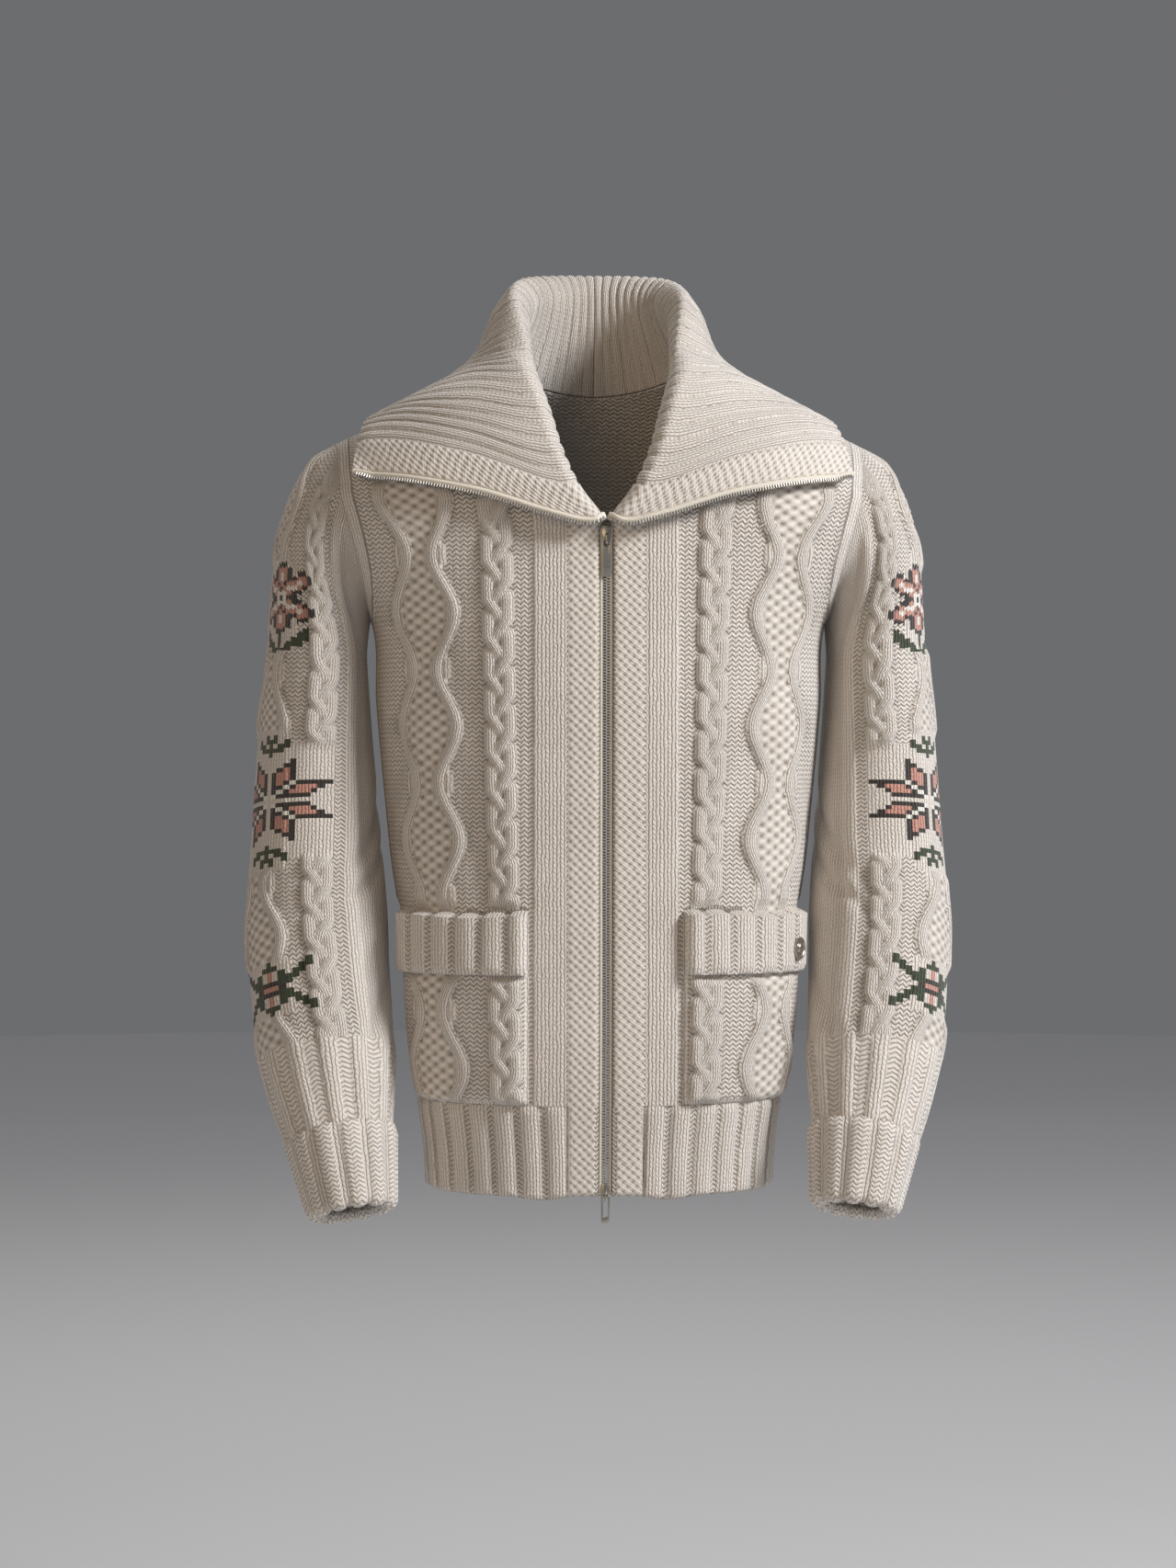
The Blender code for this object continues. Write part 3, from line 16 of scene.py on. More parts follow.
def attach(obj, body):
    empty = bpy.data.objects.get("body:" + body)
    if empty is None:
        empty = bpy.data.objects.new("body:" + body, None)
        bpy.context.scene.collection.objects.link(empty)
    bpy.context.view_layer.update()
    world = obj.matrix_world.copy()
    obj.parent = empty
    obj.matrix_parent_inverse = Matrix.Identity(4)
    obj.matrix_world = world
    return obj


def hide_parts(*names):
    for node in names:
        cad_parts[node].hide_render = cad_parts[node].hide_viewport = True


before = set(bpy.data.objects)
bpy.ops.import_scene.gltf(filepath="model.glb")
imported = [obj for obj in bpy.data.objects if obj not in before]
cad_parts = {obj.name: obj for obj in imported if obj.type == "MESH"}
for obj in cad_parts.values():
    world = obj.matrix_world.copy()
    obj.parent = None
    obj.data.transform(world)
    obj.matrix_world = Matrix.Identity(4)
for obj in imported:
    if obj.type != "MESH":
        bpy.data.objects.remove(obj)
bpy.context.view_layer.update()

# ---- the part's own dimensions ----------------------------------------------------------------------------
WALL = 0.004            # thickness of the knitted cloth
PERIOD = 0.099          # one diamond, and one full turn of a three-strand cable
HEM_HEIGHT = -0.7100    # lower edge of the hem rib
RIB_TOP = -0.6300       # where the hem rib starts
CHEST = -0.1300         # above this height the torso rounds over to the shoulders
UNDERARM = -0.2050
SHOULDER_TIP = (0.234, -0.045)      # half width and height of the shoulder's end
NECK_POINT = (0.083, 0.025)         # half width and height where the shoulder meets the collar
NECK_V = (0.0063, -0.125)           # half gap and height where the opened zip edges part
BACK_NECK_DROP = 0.016
NECK_CURVE = 1.45       # how far the front neckline bows outwards under the collar
SIDE_POWER = 2.5        # squareness of the torso's section
SHOULDER_POWER = 2.2    # squareness of the shoulder's profile
TORSO_COLUMNS = ("height", "half_width", "front", "back")
TORSO = (
    (-0.720, 0.1530, 0.1050, 0.1060),
    (-0.665, 0.1565, 0.1090, 0.1085),
    (-0.627, 0.1620, 0.1130, 0.1085),
    (-0.576, 0.1710, 0.1165, 0.1060),
    (-0.530, 0.1757, 0.1185, 0.1035),
    (-0.4585, 0.1790, 0.1190, 0.1010),
    (-0.4175, 0.1850, 0.1190, 0.1030),
    (-0.370, 0.1897, 0.1200, 0.1060),
    (-0.280, 0.1979, 0.1230, 0.1130),
    (-0.205, 0.2028, 0.1245, 0.1180),
    (-0.130, 0.2450, 0.1240, 0.1180),
)
ARMHOLE_COLUMNS = ("height", "half_width")
ARMHOLE = (
    (-0.2050, 0.2028),
    (-0.1622, 0.2102),
    (-0.1300, 0.2187),
    (-0.0858, 0.2303),
    (-0.0450, 0.2340),
)
SLEEVE_COLUMNS = ("outer", "inner", "middle_y", "middle_z", "half_depth")
SLEEVE = (
    (0.2955, 0.2065, 0.012, -0.240, 0.0770),
    (0.3030, 0.2015, 0.012, -0.310, 0.0740),
    (0.3085, 0.1940, 0.004, -0.395, 0.0690),
    (0.3120, 0.1880, -0.010, -0.465, 0.0650),
    (0.3076, 0.1850, -0.030, -0.530, 0.0600),
    (0.2993, 0.1820, -0.050, -0.587, 0.0550),
    (0.2870, 0.1815, -0.067, -0.632, 0.0490),
    (0.2770, 0.1820, -0.079, -0.660, 0.0450),
    (0.2555, 0.1820, -0.100, -0.722, 0.0380),
)
ARMHOLE_GAP = 0.0021    # between the fronts or back and the sleeve
SLEEVE_TURN = math.radians(33)      # how far forward the sleeve's outer line lies
CUFF_HEIGHT = 0.067
SLEEVE_RIB = 0.075      # height of the sleeve's rib above the turned-back cuff
CUFF_INSET = 0.0074     # the sleeve's end lies this far inside the cuff
COLLAR_COLUMNS = ("place", "heading", "fold_x", "fold_y", "fold_z", "roll",
                  "fall_x", "fall_y", "fall_z", "edge_x", "edge_y", "edge_z")
COLLAR = (
    (0.000, 0, 0.0054, -0.1270, -0.1178, 0.0062, 0.115, -0.1265, -0.0955, 0.2195, -0.0860, -0.0775),
    (0.090, 8, 0.0240, -0.1250, -0.0930, 0.0070, 0.118, -0.1170, -0.0700, 0.2165, -0.0640, -0.0520),
    (0.175, 16, 0.0385, -0.1165, -0.0600, 0.0080, 0.122, -0.1020, -0.0420, 0.2105, -0.0370, -0.0290),
    (0.250, 24, 0.0470, -0.1020, -0.0300, 0.0090, 0.124, -0.0830, -0.0190, 0.2080, -0.0050, -0.0235),
    (0.350, 36, 0.0590, -0.0750, 0.0080, 0.0105, 0.124, -0.0380, 0.0120, 0.1960, 0.0360, -0.0250),
    (0.500, 62, 0.0700, -0.0300, 0.0580, 0.0130, 0.117, 0.0220, 0.0330, 0.1660, 0.0680, -0.0320),
    (0.646, 92, 0.0760, 0.0110, 0.0970, 0.0140, 0.104, 0.0660, 0.0460, 0.1260, 0.0890, -0.0200),
    (0.750, 118, 0.0670, 0.0470, 0.1120, 0.0140, 0.083, 0.0880, 0.0520, 0.0940, 0.0990, -0.0080),
    (0.870, 150, 0.0390, 0.0720, 0.1190, 0.0140, 0.045, 0.1020, 0.0580, 0.0500, 0.1080, -0.0020),
    (1.000, 180, 0.0000, 0.0830, 0.1210, 0.0140, 0.000, 0.1090, 0.0600, 0.0000, 0.1110, 0.0000),
)
NECK_SHARE = 0.646      # share of the half neck seam that lies on the front
COLLAR_LAY = 0.105      # share by which the collar's fall stands off the shoulders
COLLAR_LAY_FRONT = 0.115            # the same where it crosses the cables
NECK_GAP = 0.0025       # between the neckline and the collar
COLLAR_MOSS = 0.095     # the moss band's share of the half collar
MOSS_BAND = (0.0078, 0.0330, 0.0014)
PLAIN_BAND = (0.0345, 0.0630, 0.0012)
EDGE_BAND = 0.013       # width of the plain edge along the armhole and side seam
EDGE_RISE = 0.0022
CABLE_RISE = 0.0046
STRAND_HALF = 0.0064
STRAND_RISE = 0.0044
SEED_RISE = 0.0012
PEBBLE_RISE = 0.0008
OVAL_RISE = 0.0030
DIAMOND_MEAN = 0.0205   # mean distance of a diamond's strand from its middle line
DIAMOND_SWING = 0.0090
BAND_COLUMNS = ("height", "cable", "diamond")
BANDS = (
    (-0.630, 0.0850, 0.1520),
    (-0.460, 0.0890, 0.1570),
    (-0.100, 0.0960, 0.1650),
)
WIDEST = -0.2019
LOBE_START = {1: 0.012, -1: 0.0}    # where the cable's first crossing lies on each front
POCKET = (0.067, 0.205, -0.6290, -0.4610)       # inner and outer side, lower and upper edge
POCKET_STAND = 0.0021   # clearance between the front and the pocket
WELT_LOW = -0.5160
HEM_RIB = (0.0345, 0.0220, 0.0135, 0.0020)      # first rib, pitch, raised width, rise
CUFF_RIBS = 12          # ribs round a cuff
WELT_RIBS = 6
FOLD_COLUMNS = ("across", "height", "half_width", "half_length", "lean", "depth")
FRONT_FOLDS = (
    (0.115, -0.395, 0.016, 0.075, 0.25, 0.0030),
    (0.200, -0.330, 0.014, 0.060, -0.35, 0.0035),
    (0.140, -0.250, 0.018, 0.055, 0.45, 0.0022),
)
BACK_FOLDS = (
    (0.070, -0.400, 0.022, 0.150, 0.10, 0.0050),
    (0.155, -0.300, 0.018, 0.110, -0.30, 0.0045),
    (0.120, -0.560, 0.020, 0.110, 0.15, 0.0045),
    (0.000, -0.200, 0.024, 0.100, 0.05, 0.0035),
)
SLEEVE_FOLDS = (
    (0.135, -0.395, 0.012, 0.045, 0.90, 0.0050),
    (0.125, -0.440, 0.010, 0.040, 1.10, 0.0045),
    (-0.130, -0.420, 0.012, 0.050, -0.80, 0.0050),
    (0.120, -0.560, 0.010, 0.040, 0.70, 0.0035),
    (-0.110, -0.300, 0.014, 0.060, -0.50, 0.0040),
)
TAPE_REACH = (-0.010, -0.004)       # how far the zip's tape lies onto the front, and onto the collar
SNAP_PLACE = (0.178, -0.4960)                   # across and height of the snap on the left welt
SNAP_RADIUS = 0.0100
RING = np.linspace(0, 2 * math.pi, 145)[:-1]
SIDES = {1: "left", -1: "right"}
FIELDS = ((-0.195, 0.037), (-0.373, 0.066), (-0.541, 0.023))
SLEEVE_CABLE = 0.0640   # middle of the cable from the sleeve's outer line
SLEEVE_EDGE = (0.0885, 0.1015)


# ---- the part's own surfaces -------------------------------------------------------------------------------
def smooth(at, places, values):
    """Values read at `at` from a smooth curve through (places, values)."""
    at, places, values = (np.asarray(a, float) for a in (at, places, values))
    slopes = np.gradient(values, places)
    cell = np.clip(np.searchsorted(places, at) - 1, 0, len(places) - 2)
    width = places[cell + 1] - places[cell]
    t = np.clip((at - places[cell]) / width, 0.0, 1.0)
    rise = 3 * t**2 - 2 * t**3
    start = (t - 2 * t**2 + t**3) * slopes[cell] * width
    end = (t**3 - t**2) * slopes[cell + 1] * width
    return values[cell] * (1 - rise) + values[cell + 1] * rise + start + end


def arc_of(points):
    """Length along a row of points, from the first."""
    return np.concatenate([[0], np.cumsum(np.linalg.norm(np.diff(points, axis=0), axis=-1))])


def read_at(at, places, points):
    """Points at `at` on the line through points that lie at `places`."""
    return np.stack([np.interp(at, places, points[:, k]) for k in range(3)], axis=-1)


def column(table, names, name):
    return [row[names.index(name)] for row in table]


def torso(name, z):
    return smooth(z, column(TORSO, TORSO_COLUMNS, "height"), column(TORSO, TORSO_COLUMNS, name))


def armhole(z):
    heights = column(ARMHOLE, ARMHOLE_COLUMNS, "height")
    return smooth(z, heights, column(ARMHOLE, ARMHOLE_COLUMNS, "half_width"))


def band(name, z):
    return smooth(z, column(BANDS, BAND_COLUMNS, "height"), column(BANDS, BAND_COLUMNS, name))


def unit(vectors):
    return vectors / np.maximum(np.linalg.norm(vectors, axis=-1, keepdims=True), 1e-9)


def folds(table, across, height):
    """Depth of the soft folds at a place on the cloth."""
    depth = np.zeros(np.broadcast(across, height).shape)
    for at, z, half_width, half_length, lean, deep in table:
        along = height - z
        away = np.abs(across) - at - lean * along
        depth += deep * np.exp(-((away / half_width) ** 2) - (along / half_length) ** 2)
    return depth


def fold_share(z):
    """How much of a fold shows at a height: none at the hem rib or high on the chest."""
    return np.clip((z - RIB_TOP) / 0.03, 0, 1) * np.clip((-0.10 - z) / 0.03, 0, 1)


@functools.lru_cache(maxsize=None)
def section(z, side):
    """Arc length, half width and depth along a quarter of the torso's section."""
    turn = np.linspace(0, math.pi / 2, 181)
    x = torso("half_width", z) * np.sin(turn) ** (2 / SIDE_POWER)
    y = torso(side, z) * np.cos(turn) ** (2 / SIDE_POWER)
    return arc_of(np.stack([x, y], axis=-1)), x, y


def edge_arc(z, side):
    """How far from the middle the armhole or the side seam lies, along the cloth."""
    arc, x, _ = section(z, side)
    if z <= UNDERARM:
        return float(arc[-1])
    return float(np.interp(armhole(z), x, arc))


def shoulder_height(x):
    slope = (NECK_POINT[1] - SHOULDER_TIP[1]) / (SHOULDER_TIP[0] - NECK_POINT[0])
    return NECK_POINT[1] - slope * (np.abs(x) - NECK_POINT[0])


def top_height(x, side):
    """Height of a panel's top edge: the neckline, then the shoulder."""
    x = np.abs(x)
    if side == "front":
        share = np.clip((x - NECK_V[0]) / (NECK_POINT[0] - NECK_V[0]), 0, 1)
        neck = NECK_V[1] + (NECK_POINT[1] - NECK_V[1]) * share**NECK_CURVE
    else:
        neck = NECK_POINT[1] - BACK_NECK_DROP * (1 - np.clip(x / NECK_POINT[0], 0, 1) ** 2)
    return np.where(x < NECK_POINT[0], neck, shoulder_height(x))


def widened(x, height):
    """Distance from the middle at a height above CHEST of a column that stands at x on CHEST."""
    return x * armhole(height) / armhole(CHEST)


def crown(x):
    """Height where a column that stands at x on CHEST meets the shoulder's line."""
    height = shoulder_height(x)
    for _ in range(4):
        height = shoulder_height(widened(x, height))
    return height


def rim(x, side):
    """Height where a column that stands at x on CHEST ends at the neckline or the shoulder."""
    height = top_height(x, side)
    for _ in range(12):
        height = 0.5 * height + 0.5 * top_height(widened(x, height), side)
    return height


def torso_point(across, row, side):
    """Point of the torso's outer face.  `row` is a height up to CHEST, and above it CHEST plus a share 0 to 1
    of the way over the shoulder."""
    z = min(row, CHEST)
    share = max(row - CHEST, 0.0)
    arc, xs, ys = section(round(z, 6), side)
    distance = np.abs(across)
    x = np.interp(distance, arc, xs)
    y = np.interp(distance, arc, ys)
    height = np.full(x.shape, z)
    if share > 0:
        rise = crown(x) - CHEST
        top = np.clip((rim(x, side) - CHEST) / rise, 0, 1) ** (SHOULDER_POWER / 2)
        angle = share * np.arcsin(np.minimum(top, 1.0))
        height = CHEST + rise * np.sin(angle) ** (2 / SHOULDER_POWER)
        y = y * np.maximum(np.cos(angle), 0) ** (2 / SHOULDER_POWER)
        x = widened(x, height)
    facing = -1 if side == "front" else 1
    return np.stack([np.sign(across) * x, facing * y, height], axis=-1)


def grid_normals(points, closed=False):
    """Unit normals of a grid of points, rows by columns."""
    if closed:
        wide = np.concatenate([points[:, -1:], points, points[:, :1]], axis=1)
        sideways = wide[:, 2:] - wide[:, :-2]
    else:
        sideways = np.gradient(points, axis=1)
    upward = np.gradient(points, axis=0)
    return unit(np.cross(sideways, upward))


def ring_normals(base):
    """Outward unit normals of a stack of rings whose last point repeats the first."""
    normals = grid_normals(base[:, :-1], closed=True)
    if np.sum(normals * (base[:, :-1] - base[:, :-1].mean(axis=1, keepdims=True))) < 0:
        normals = -normals
    return np.concatenate([normals, normals[:, :1]], axis=1)


def on_side(half, base, normals):
    """A tube moved to its own side, and whether its grid has to be turned to face outwards."""
    turn = np.array([half, 1.0, 1.0])
    base, normals = base * turn, normals * turn
    return base, normals, np.sum(grid_normals(base[:, :-1], closed=True) * normals[:, :-1]) <= 0


def strand_place(height):
    """Distance of a diamond's strands from its middle line."""
    return DIAMOND_MEAN + DIAMOND_SWING * np.cos(2 * math.pi * (height - WIDEST) / PERIOD)


@functools.lru_cache(maxsize=None)
def armhole_ring():
    """The armhole seam on the wearer's left, from the shoulder's tip round the front, with its normals."""
    lift = 0.5 * (1 + np.cos(RING))
    heights = UNDERARM + (SHOULDER_TIP[1] - UNDERARM) * lift
    points, normals = [], []
    for turn, z in zip(RING, heights):
        side = "front" if turn <= math.pi else "back"
        z = float(z)
        facing = -1 if side == "front" else 1
        x = float(armhole(z))
        low = min(z, CHEST)
        body = float(torso("half_width", low))
        scaled = x * float(armhole(low)) / x if z > CHEST else x
        y = float(torso(side, low)) * max(1 - (scaled / body) ** SIDE_POWER, 0) ** (1 / SIDE_POWER)
        if z > CHEST:
            share = min((z - CHEST) / (SHOULDER_TIP[1] - CHEST), 1.0)
            y *= max(1 - share**SHOULDER_POWER, 0) ** (1 / SHOULDER_POWER)
        points.append((x, facing * y, z))
        over = max(z - CHEST, 0) / 0.085
        normals.append((0.35 + 0.65 * (1 - abs(y) / 0.075), facing * (abs(y) / 0.075) * 1.1, over * 1.3))
    points = np.array(points)
    along = np.roll(points, -1, axis=0) - np.roll(points, 1, axis=0)
    outward = unit(np.cross(unit(np.array(normals)), unit(along)))
    return points, unit(np.array(normals)), outward


@functools.lru_cache(maxsize=None)
def arm_frames():
    """Middle, outward axis, forward axis and half sizes of a sleeve's rings, finely spaced."""
    table = {name: np.array(column(SLEEVE, SLEEVE_COLUMNS, name)) for name in SLEEVE_COLUMNS}
    knots = arc_of(np.stack([table["middle_z"], table["middle_y"]], axis=-1))
    at = np.linspace(0, knots[-1], 121)
    read = {name: smooth(at, knots, values) for name, values in table.items()}
    middle = np.stack([(read["outer"] + read["inner"]) / 2, read["middle_y"], read["middle_z"]], axis=-1)
    along = unit(np.gradient(middle, axis=0))
    outward = unit(np.array([1.0, 0, 0]) - along[:, :1] * along)
    forward = np.cross(outward, along)
    forward *= np.sign(-forward[:, 1:2])
    half_width = (read["outer"] - read["inner"]) / 2 / outward[:, 0]
    return at, middle, outward, forward, half_width, read["half_depth"]


def sleeve_ring(distance, inset=0.0):
    """Points of the ring at a distance below the first one."""
    at, middle, outward, forward, half_width, half_depth = arm_frames()

    centre, out, front = (read_at(distance, at, part) for part in (middle, outward, forward))
    out, front = unit(out), unit(front)
    wide, deep = (np.interp(distance, at, part) - inset for part in (half_width, half_depth))
    return centre + np.cos(RING)[:, None] * out * wide + np.sin(RING)[:, None] * front * deep


def cap_ring(share):
    """Points of a ring of the sleeve's cap, from the armhole (0) to the first full ring (1)."""
    start, _, outward = armhole_ring()
    end = sleeve_ring(0.0)
    below = sleeve_ring(0.01) - end
    reach = np.linalg.norm(end - start, axis=-1, keepdims=True)
    leave = outward * reach * (0.75 + 0.35 * np.cos(RING)[:, None])
    arrive = unit(below) * reach * 1.05
    t = share
    return (start * (2 * t**3 - 3 * t**2 + 1) + end * (3 * t**2 - 2 * t**3)
            + leave * (t**3 - 2 * t**2 + t) + arrive * (t**3 - t**2))


def around(ring, distances, start):
    """Points at distances round a ring, forwards positive, from the angle `start`."""
    closed = np.concatenate([ring, ring[:1]])
    arc = arc_of(closed)
    origin = np.interp(start, np.append(RING, 2 * math.pi), arc)
    return read_at((origin + np.asarray(distances)) % arc[-1], arc, closed)


def ring_length(ring):
    return float(np.linalg.norm(np.roll(ring, -1, axis=0) - ring, axis=-1).sum())


def sleeve_fold_depth(distance, z):
    depth = np.zeros(np.shape(distance))
    for at, height, half_width, half_length, lean, deep in SLEEVE_FOLDS:
        away = distance - at - lean * (z - height) * np.sign(at)
        depth += deep * np.exp(-((away / half_width) ** 2) - ((z - height) / half_length) ** 2)
    return depth


@functools.lru_cache(maxsize=None)
def neck_seam():
    """The neck seam on the wearer's left, on the body's inner face, finely spaced from the V to the back."""
    share = np.linspace(0, 1, 60)
    x = NECK_V[0] + (NECK_POINT[0] - NECK_V[0]) * share
    front = np.array([neck_point(value, "front") for value in x])
    x = NECK_POINT[0] * np.cos(share * math.pi / 2)
    back = np.array([neck_point(value, "back") for value in x])
    parts = []
    for part in (front, back):
        arc = arc_of(part)
        parts.append(read_at(np.linspace(0, arc[-1], 60), arc, part))
    places = np.concatenate([share * NECK_SHARE, NECK_SHARE + share[1:] * (1 - NECK_SHARE)])
    return places, np.concatenate([parts[0], parts[1][1:]])


def neck_point(x, side):
    """A point of the neckline, one wall thickness inside the body's outer face."""
    height = float(top_height(x, side))
    body = x * float(armhole(CHEST)) / float(armhole(max(height, CHEST)))
    depth = float(torso(side, CHEST)) * (1 - (body / float(torso("half_width", CHEST))) ** SIDE_POWER) ** 0.4
    rise = float(crown(body)) - CHEST
    share = min(max((height - CHEST) / rise, 0), 1)
    depth *= (1 - share**SHOULDER_POWER) ** (1 / SHOULDER_POWER)
    depth = max(depth - WALL, 0.0)
    if side == "front":
        inward = 0.0019 * max(math.sin(math.pi * (x - NECK_V[0]) / (NECK_POINT[0] - NECK_V[0])), 0) ** 0.4
        return (x - inward, -depth, height + NECK_GAP)
    return (x, depth, height + NECK_GAP)


def mirrored_table(name):
    """A collar column over the whole collar, place 0 to 2, with x turned round on the second half."""
    values = np.array(column(COLLAR, COLLAR_COLUMNS, name))
    if name == "heading":
        return np.concatenate([values, 360 - values[-2::-1]])
    sign = -1 if name.endswith("_x") else 1
    return np.concatenate([values, sign * values[-2::-1]])


def lay_on_shoulders(points):
    """Moves the collar's points out until they stand clear of the shoulders."""
    x = np.minimum(np.abs(points[..., 0]), SHOULDER_TIP[0])
    side = np.where(points[..., 1] < 0, torso("front", CHEST), torso("back", CHEST))
    body = x * armhole(CHEST) / armhole(np.clip(points[..., 2], CHEST, SHOULDER_TIP[1]))
    wide = side * (1 - np.clip(body / torso("half_width", CHEST), 0, 1) ** SIDE_POWER) ** 0.4
    tall = crown(body) - CHEST
    up = np.maximum(points[..., 2] - CHEST, 0)
    reach = ((np.abs(points[..., 1]) / wide) ** SHOULDER_POWER + (up / tall) ** SHOULDER_POWER)
    reach = reach ** (1 / SHOULDER_POWER)
    front = np.clip((-0.06 - points[..., 2]) / 0.03, 0, 1) * (points[..., 1] < 0)
    least = 1 + COLLAR_LAY + (COLLAR_LAY_FRONT - COLLAR_LAY) * front
    grow = np.maximum(least / np.maximum(reach, 0.3), 1.0)
    moved = points.copy()
    moved[..., 1] *= grow
    moved[..., 2] = CHEST + (points[..., 2] - CHEST) * np.where(up > 0, grow, 1)
    return moved


def fold_place(place):
    places = mirrored_places()
    return np.array([float(smooth(place, places, mirrored_table(name)))
                     for name in ("fold_x", "fold_y", "fold_z")])


def collar_section(place, spots):
    """Points of one section of the collar's visible face, from the neck seam over the roll to the edge."""
    places = mirrored_places()
    read = {name: float(smooth(place, places, mirrored_table(name))) for name in COLLAR_COLUMNS[1:]}
    seam_places, seam_points = neck_seam()
    seam = read_at(min(place, 2 - place), seam_places, seam_points)
    seam[0] *= 1 if place <= 1 else -1
    fold = fold_place(place)
    fall = np.array([read["fall_x"], read["fall_y"], read["fall_z"]])
    edge = np.array([read["edge_x"], read["edge_y"], read["edge_z"]])
    along = unit(fold_place(min(place + 0.03, 2)) - fold_place(max(place - 0.03, 0)))
    turn = math.radians(read["heading"])
    over = np.array([math.sin(turn), -math.cos(turn), 0.0])
    over = unit(over - along * (over @ along))
    crest = np.cross(over, along)
    middle = fold - crest * read["roll"]
    before, after = middle - over * read["roll"], middle + over * read["roll"]
    knots = np.array([seam, before, fold, after, fall, edge])
    arc = np.concatenate([[0], np.cumsum(np.linalg.norm(np.diff(knots, axis=0), axis=-1) ** 0.75)])
    rows = np.interp(spots, range(6), arc)
    curve = np.stack([smooth(rows, arc, knots[:, k]) for k in range(3)], axis=-1)
    fall_from = int(np.searchsorted(spots, 3 - 1e-6))
    laid = lay_on_shoulders(curve[fall_from:])
    push = laid[0] - curve[fall_from]
    near = np.clip((np.array(spots[:fall_from]) - 1.6) / 1.4, 0, 1)
    curve[:fall_from] += (near * near * (3 - 2 * near))[:, None] * push
    curve[fall_from:] = laid
    return curve


def mirrored_places():
    places = np.array(column(COLLAR, COLLAR_COLUMNS, "place"))
    return np.concatenate([places, 2 - places[-2::-1]])


def zip_path():
    """The zip's line on the wearer's left: points, the way off the cloth's edge, the way towards the cloth's
    inner face, and the tape's reach onto the cloth."""
    heights = np.linspace(HEM_HEIGHT + 0.001, NECK_V[1] - 0.004, 60)
    rows = []
    for z in heights:
        point = torso_point(np.array([NECK_V[0]]), round(float(z), 6), "front")[0] + np.array([0, WALL, 0])
        rows.append((point, np.array([-1.0, 0, 0]), np.array([0, 1.0, 0]), TAPE_REACH[0]))
    spots = stretches([0, 1, 3, 5], (4, 8, 40))
    edge, beside = collar_section(0.0, spots), collar_section(0.02, spots)
    along = unit(np.gradient(edge, axis=0))
    out = unit(edge - beside)
    out = unit(out - along * np.sum(out * along, axis=-1, keepdims=True))
    face = np.cross(along, out)
    face *= np.sign(face[0, 1])
    rows += [(edge[k], out[k], face[k], TAPE_REACH[1]) for k in (0, *range(4, len(spots)))]
    return rows


# ---- finishes ----------------------------------------------------------------------------------------------
# The real stitches are about 4.3 mm wide, too fine to show, so these are drawn as coarse as they need to be
WALE = 0.0066           # width of one stitch
COURSE = PERIOD / 24    # height of one row of stitches
MOSS = (0.0041, 0.0040)             # the same in the moss bands, which are knitted tighter
SEED = (0.0080, 0.00495)            # and in the diamonds, where they spread
UNEVEN = 0.006          # spacing of the hand's unevenness, which pushes stitches out of line
HAIR = 0.0009           # spacing of the fuzz
MOTTLE = 0.05           # spacing of the lighter and darker patches in the yarn
SCRATCH = 0.0003        # spacing of the scratches on metal
TWILL = 0.0008          # repeat of the tape's herringbone


def linear(code):
    """sRGB hex to linear RGBA."""
    values = [int(code[k:k + 2], 16) / 255 for k in (1, 3, 5)]
    return tuple(v / 12.92 if v <= 0.04045 else ((v + 0.055) / 1.055) ** 2.4 for v in values) + (1.0,)


def add(tree, kind, *values, **named):
    """One shader node, such as "Math POWER", with its first inputs in order.  Settings and other inputs go by
    name, or i6 for input 6, and a node or a socket given as a value is linked."""
    kind, *operation = kind.split()
    made = tree.nodes.new("ShaderNode" + kind)
    if operation:
        made.operation = operation[0]
    for key, value in [*enumerate(values), *named.items()]:
        if hasattr(made, str(key)):
            setattr(made, key, value)
            continue
        if isinstance(key, str):
            key = int(key[1:]) if key[1:].isdigit() else key.replace("_", " ")
        if isinstance(value, bpy.types.Node):
            value = value.outputs[0]
        if isinstance(value, bpy.types.NodeSocket):
            tree.links.new(value, made.inputs[key])
        else:
            made.inputs[key].default_value = value
    return made


def empty_material(name):
    made = bpy.data.materials.new(name)
    made.use_nodes = True
    made.node_tree.nodes.clear()
    return made, made.node_tree


def stocking_height(tree, u, v):
    """Two slanting legs to each stitch, meeting in a V, with a small hole where they meet."""
    part = add(tree, "Math FRACT", u)
    side = add(tree, "Math MULTIPLY", add(tree, "Math ABSOLUTE", add(tree, "Math SUBTRACT", part, 0.5)), 2.0)
    slant = add(tree, "Math FRACT", add(tree, "Math SUBTRACT", v, add(tree, "Math MULTIPLY", side, 0.8)))
    leg = add(tree, "Math POWER", add(tree, "Math SINE", add(tree, "Math MULTIPLY", slant, math.pi)), 0.6)
    across = add(tree, "Math MULTIPLY_ADD", side, 2.0, -1.0)
    across = add(tree, "Math ABSOLUTE", across)
    body = add(tree, "Math SUBTRACT", 1.0, add(tree, "Math POWER", across, 3.0))
    return add(tree, "Math MULTIPLY", body, add(tree, "Math MULTIPLY_ADD", leg, 0.5, 0.5))


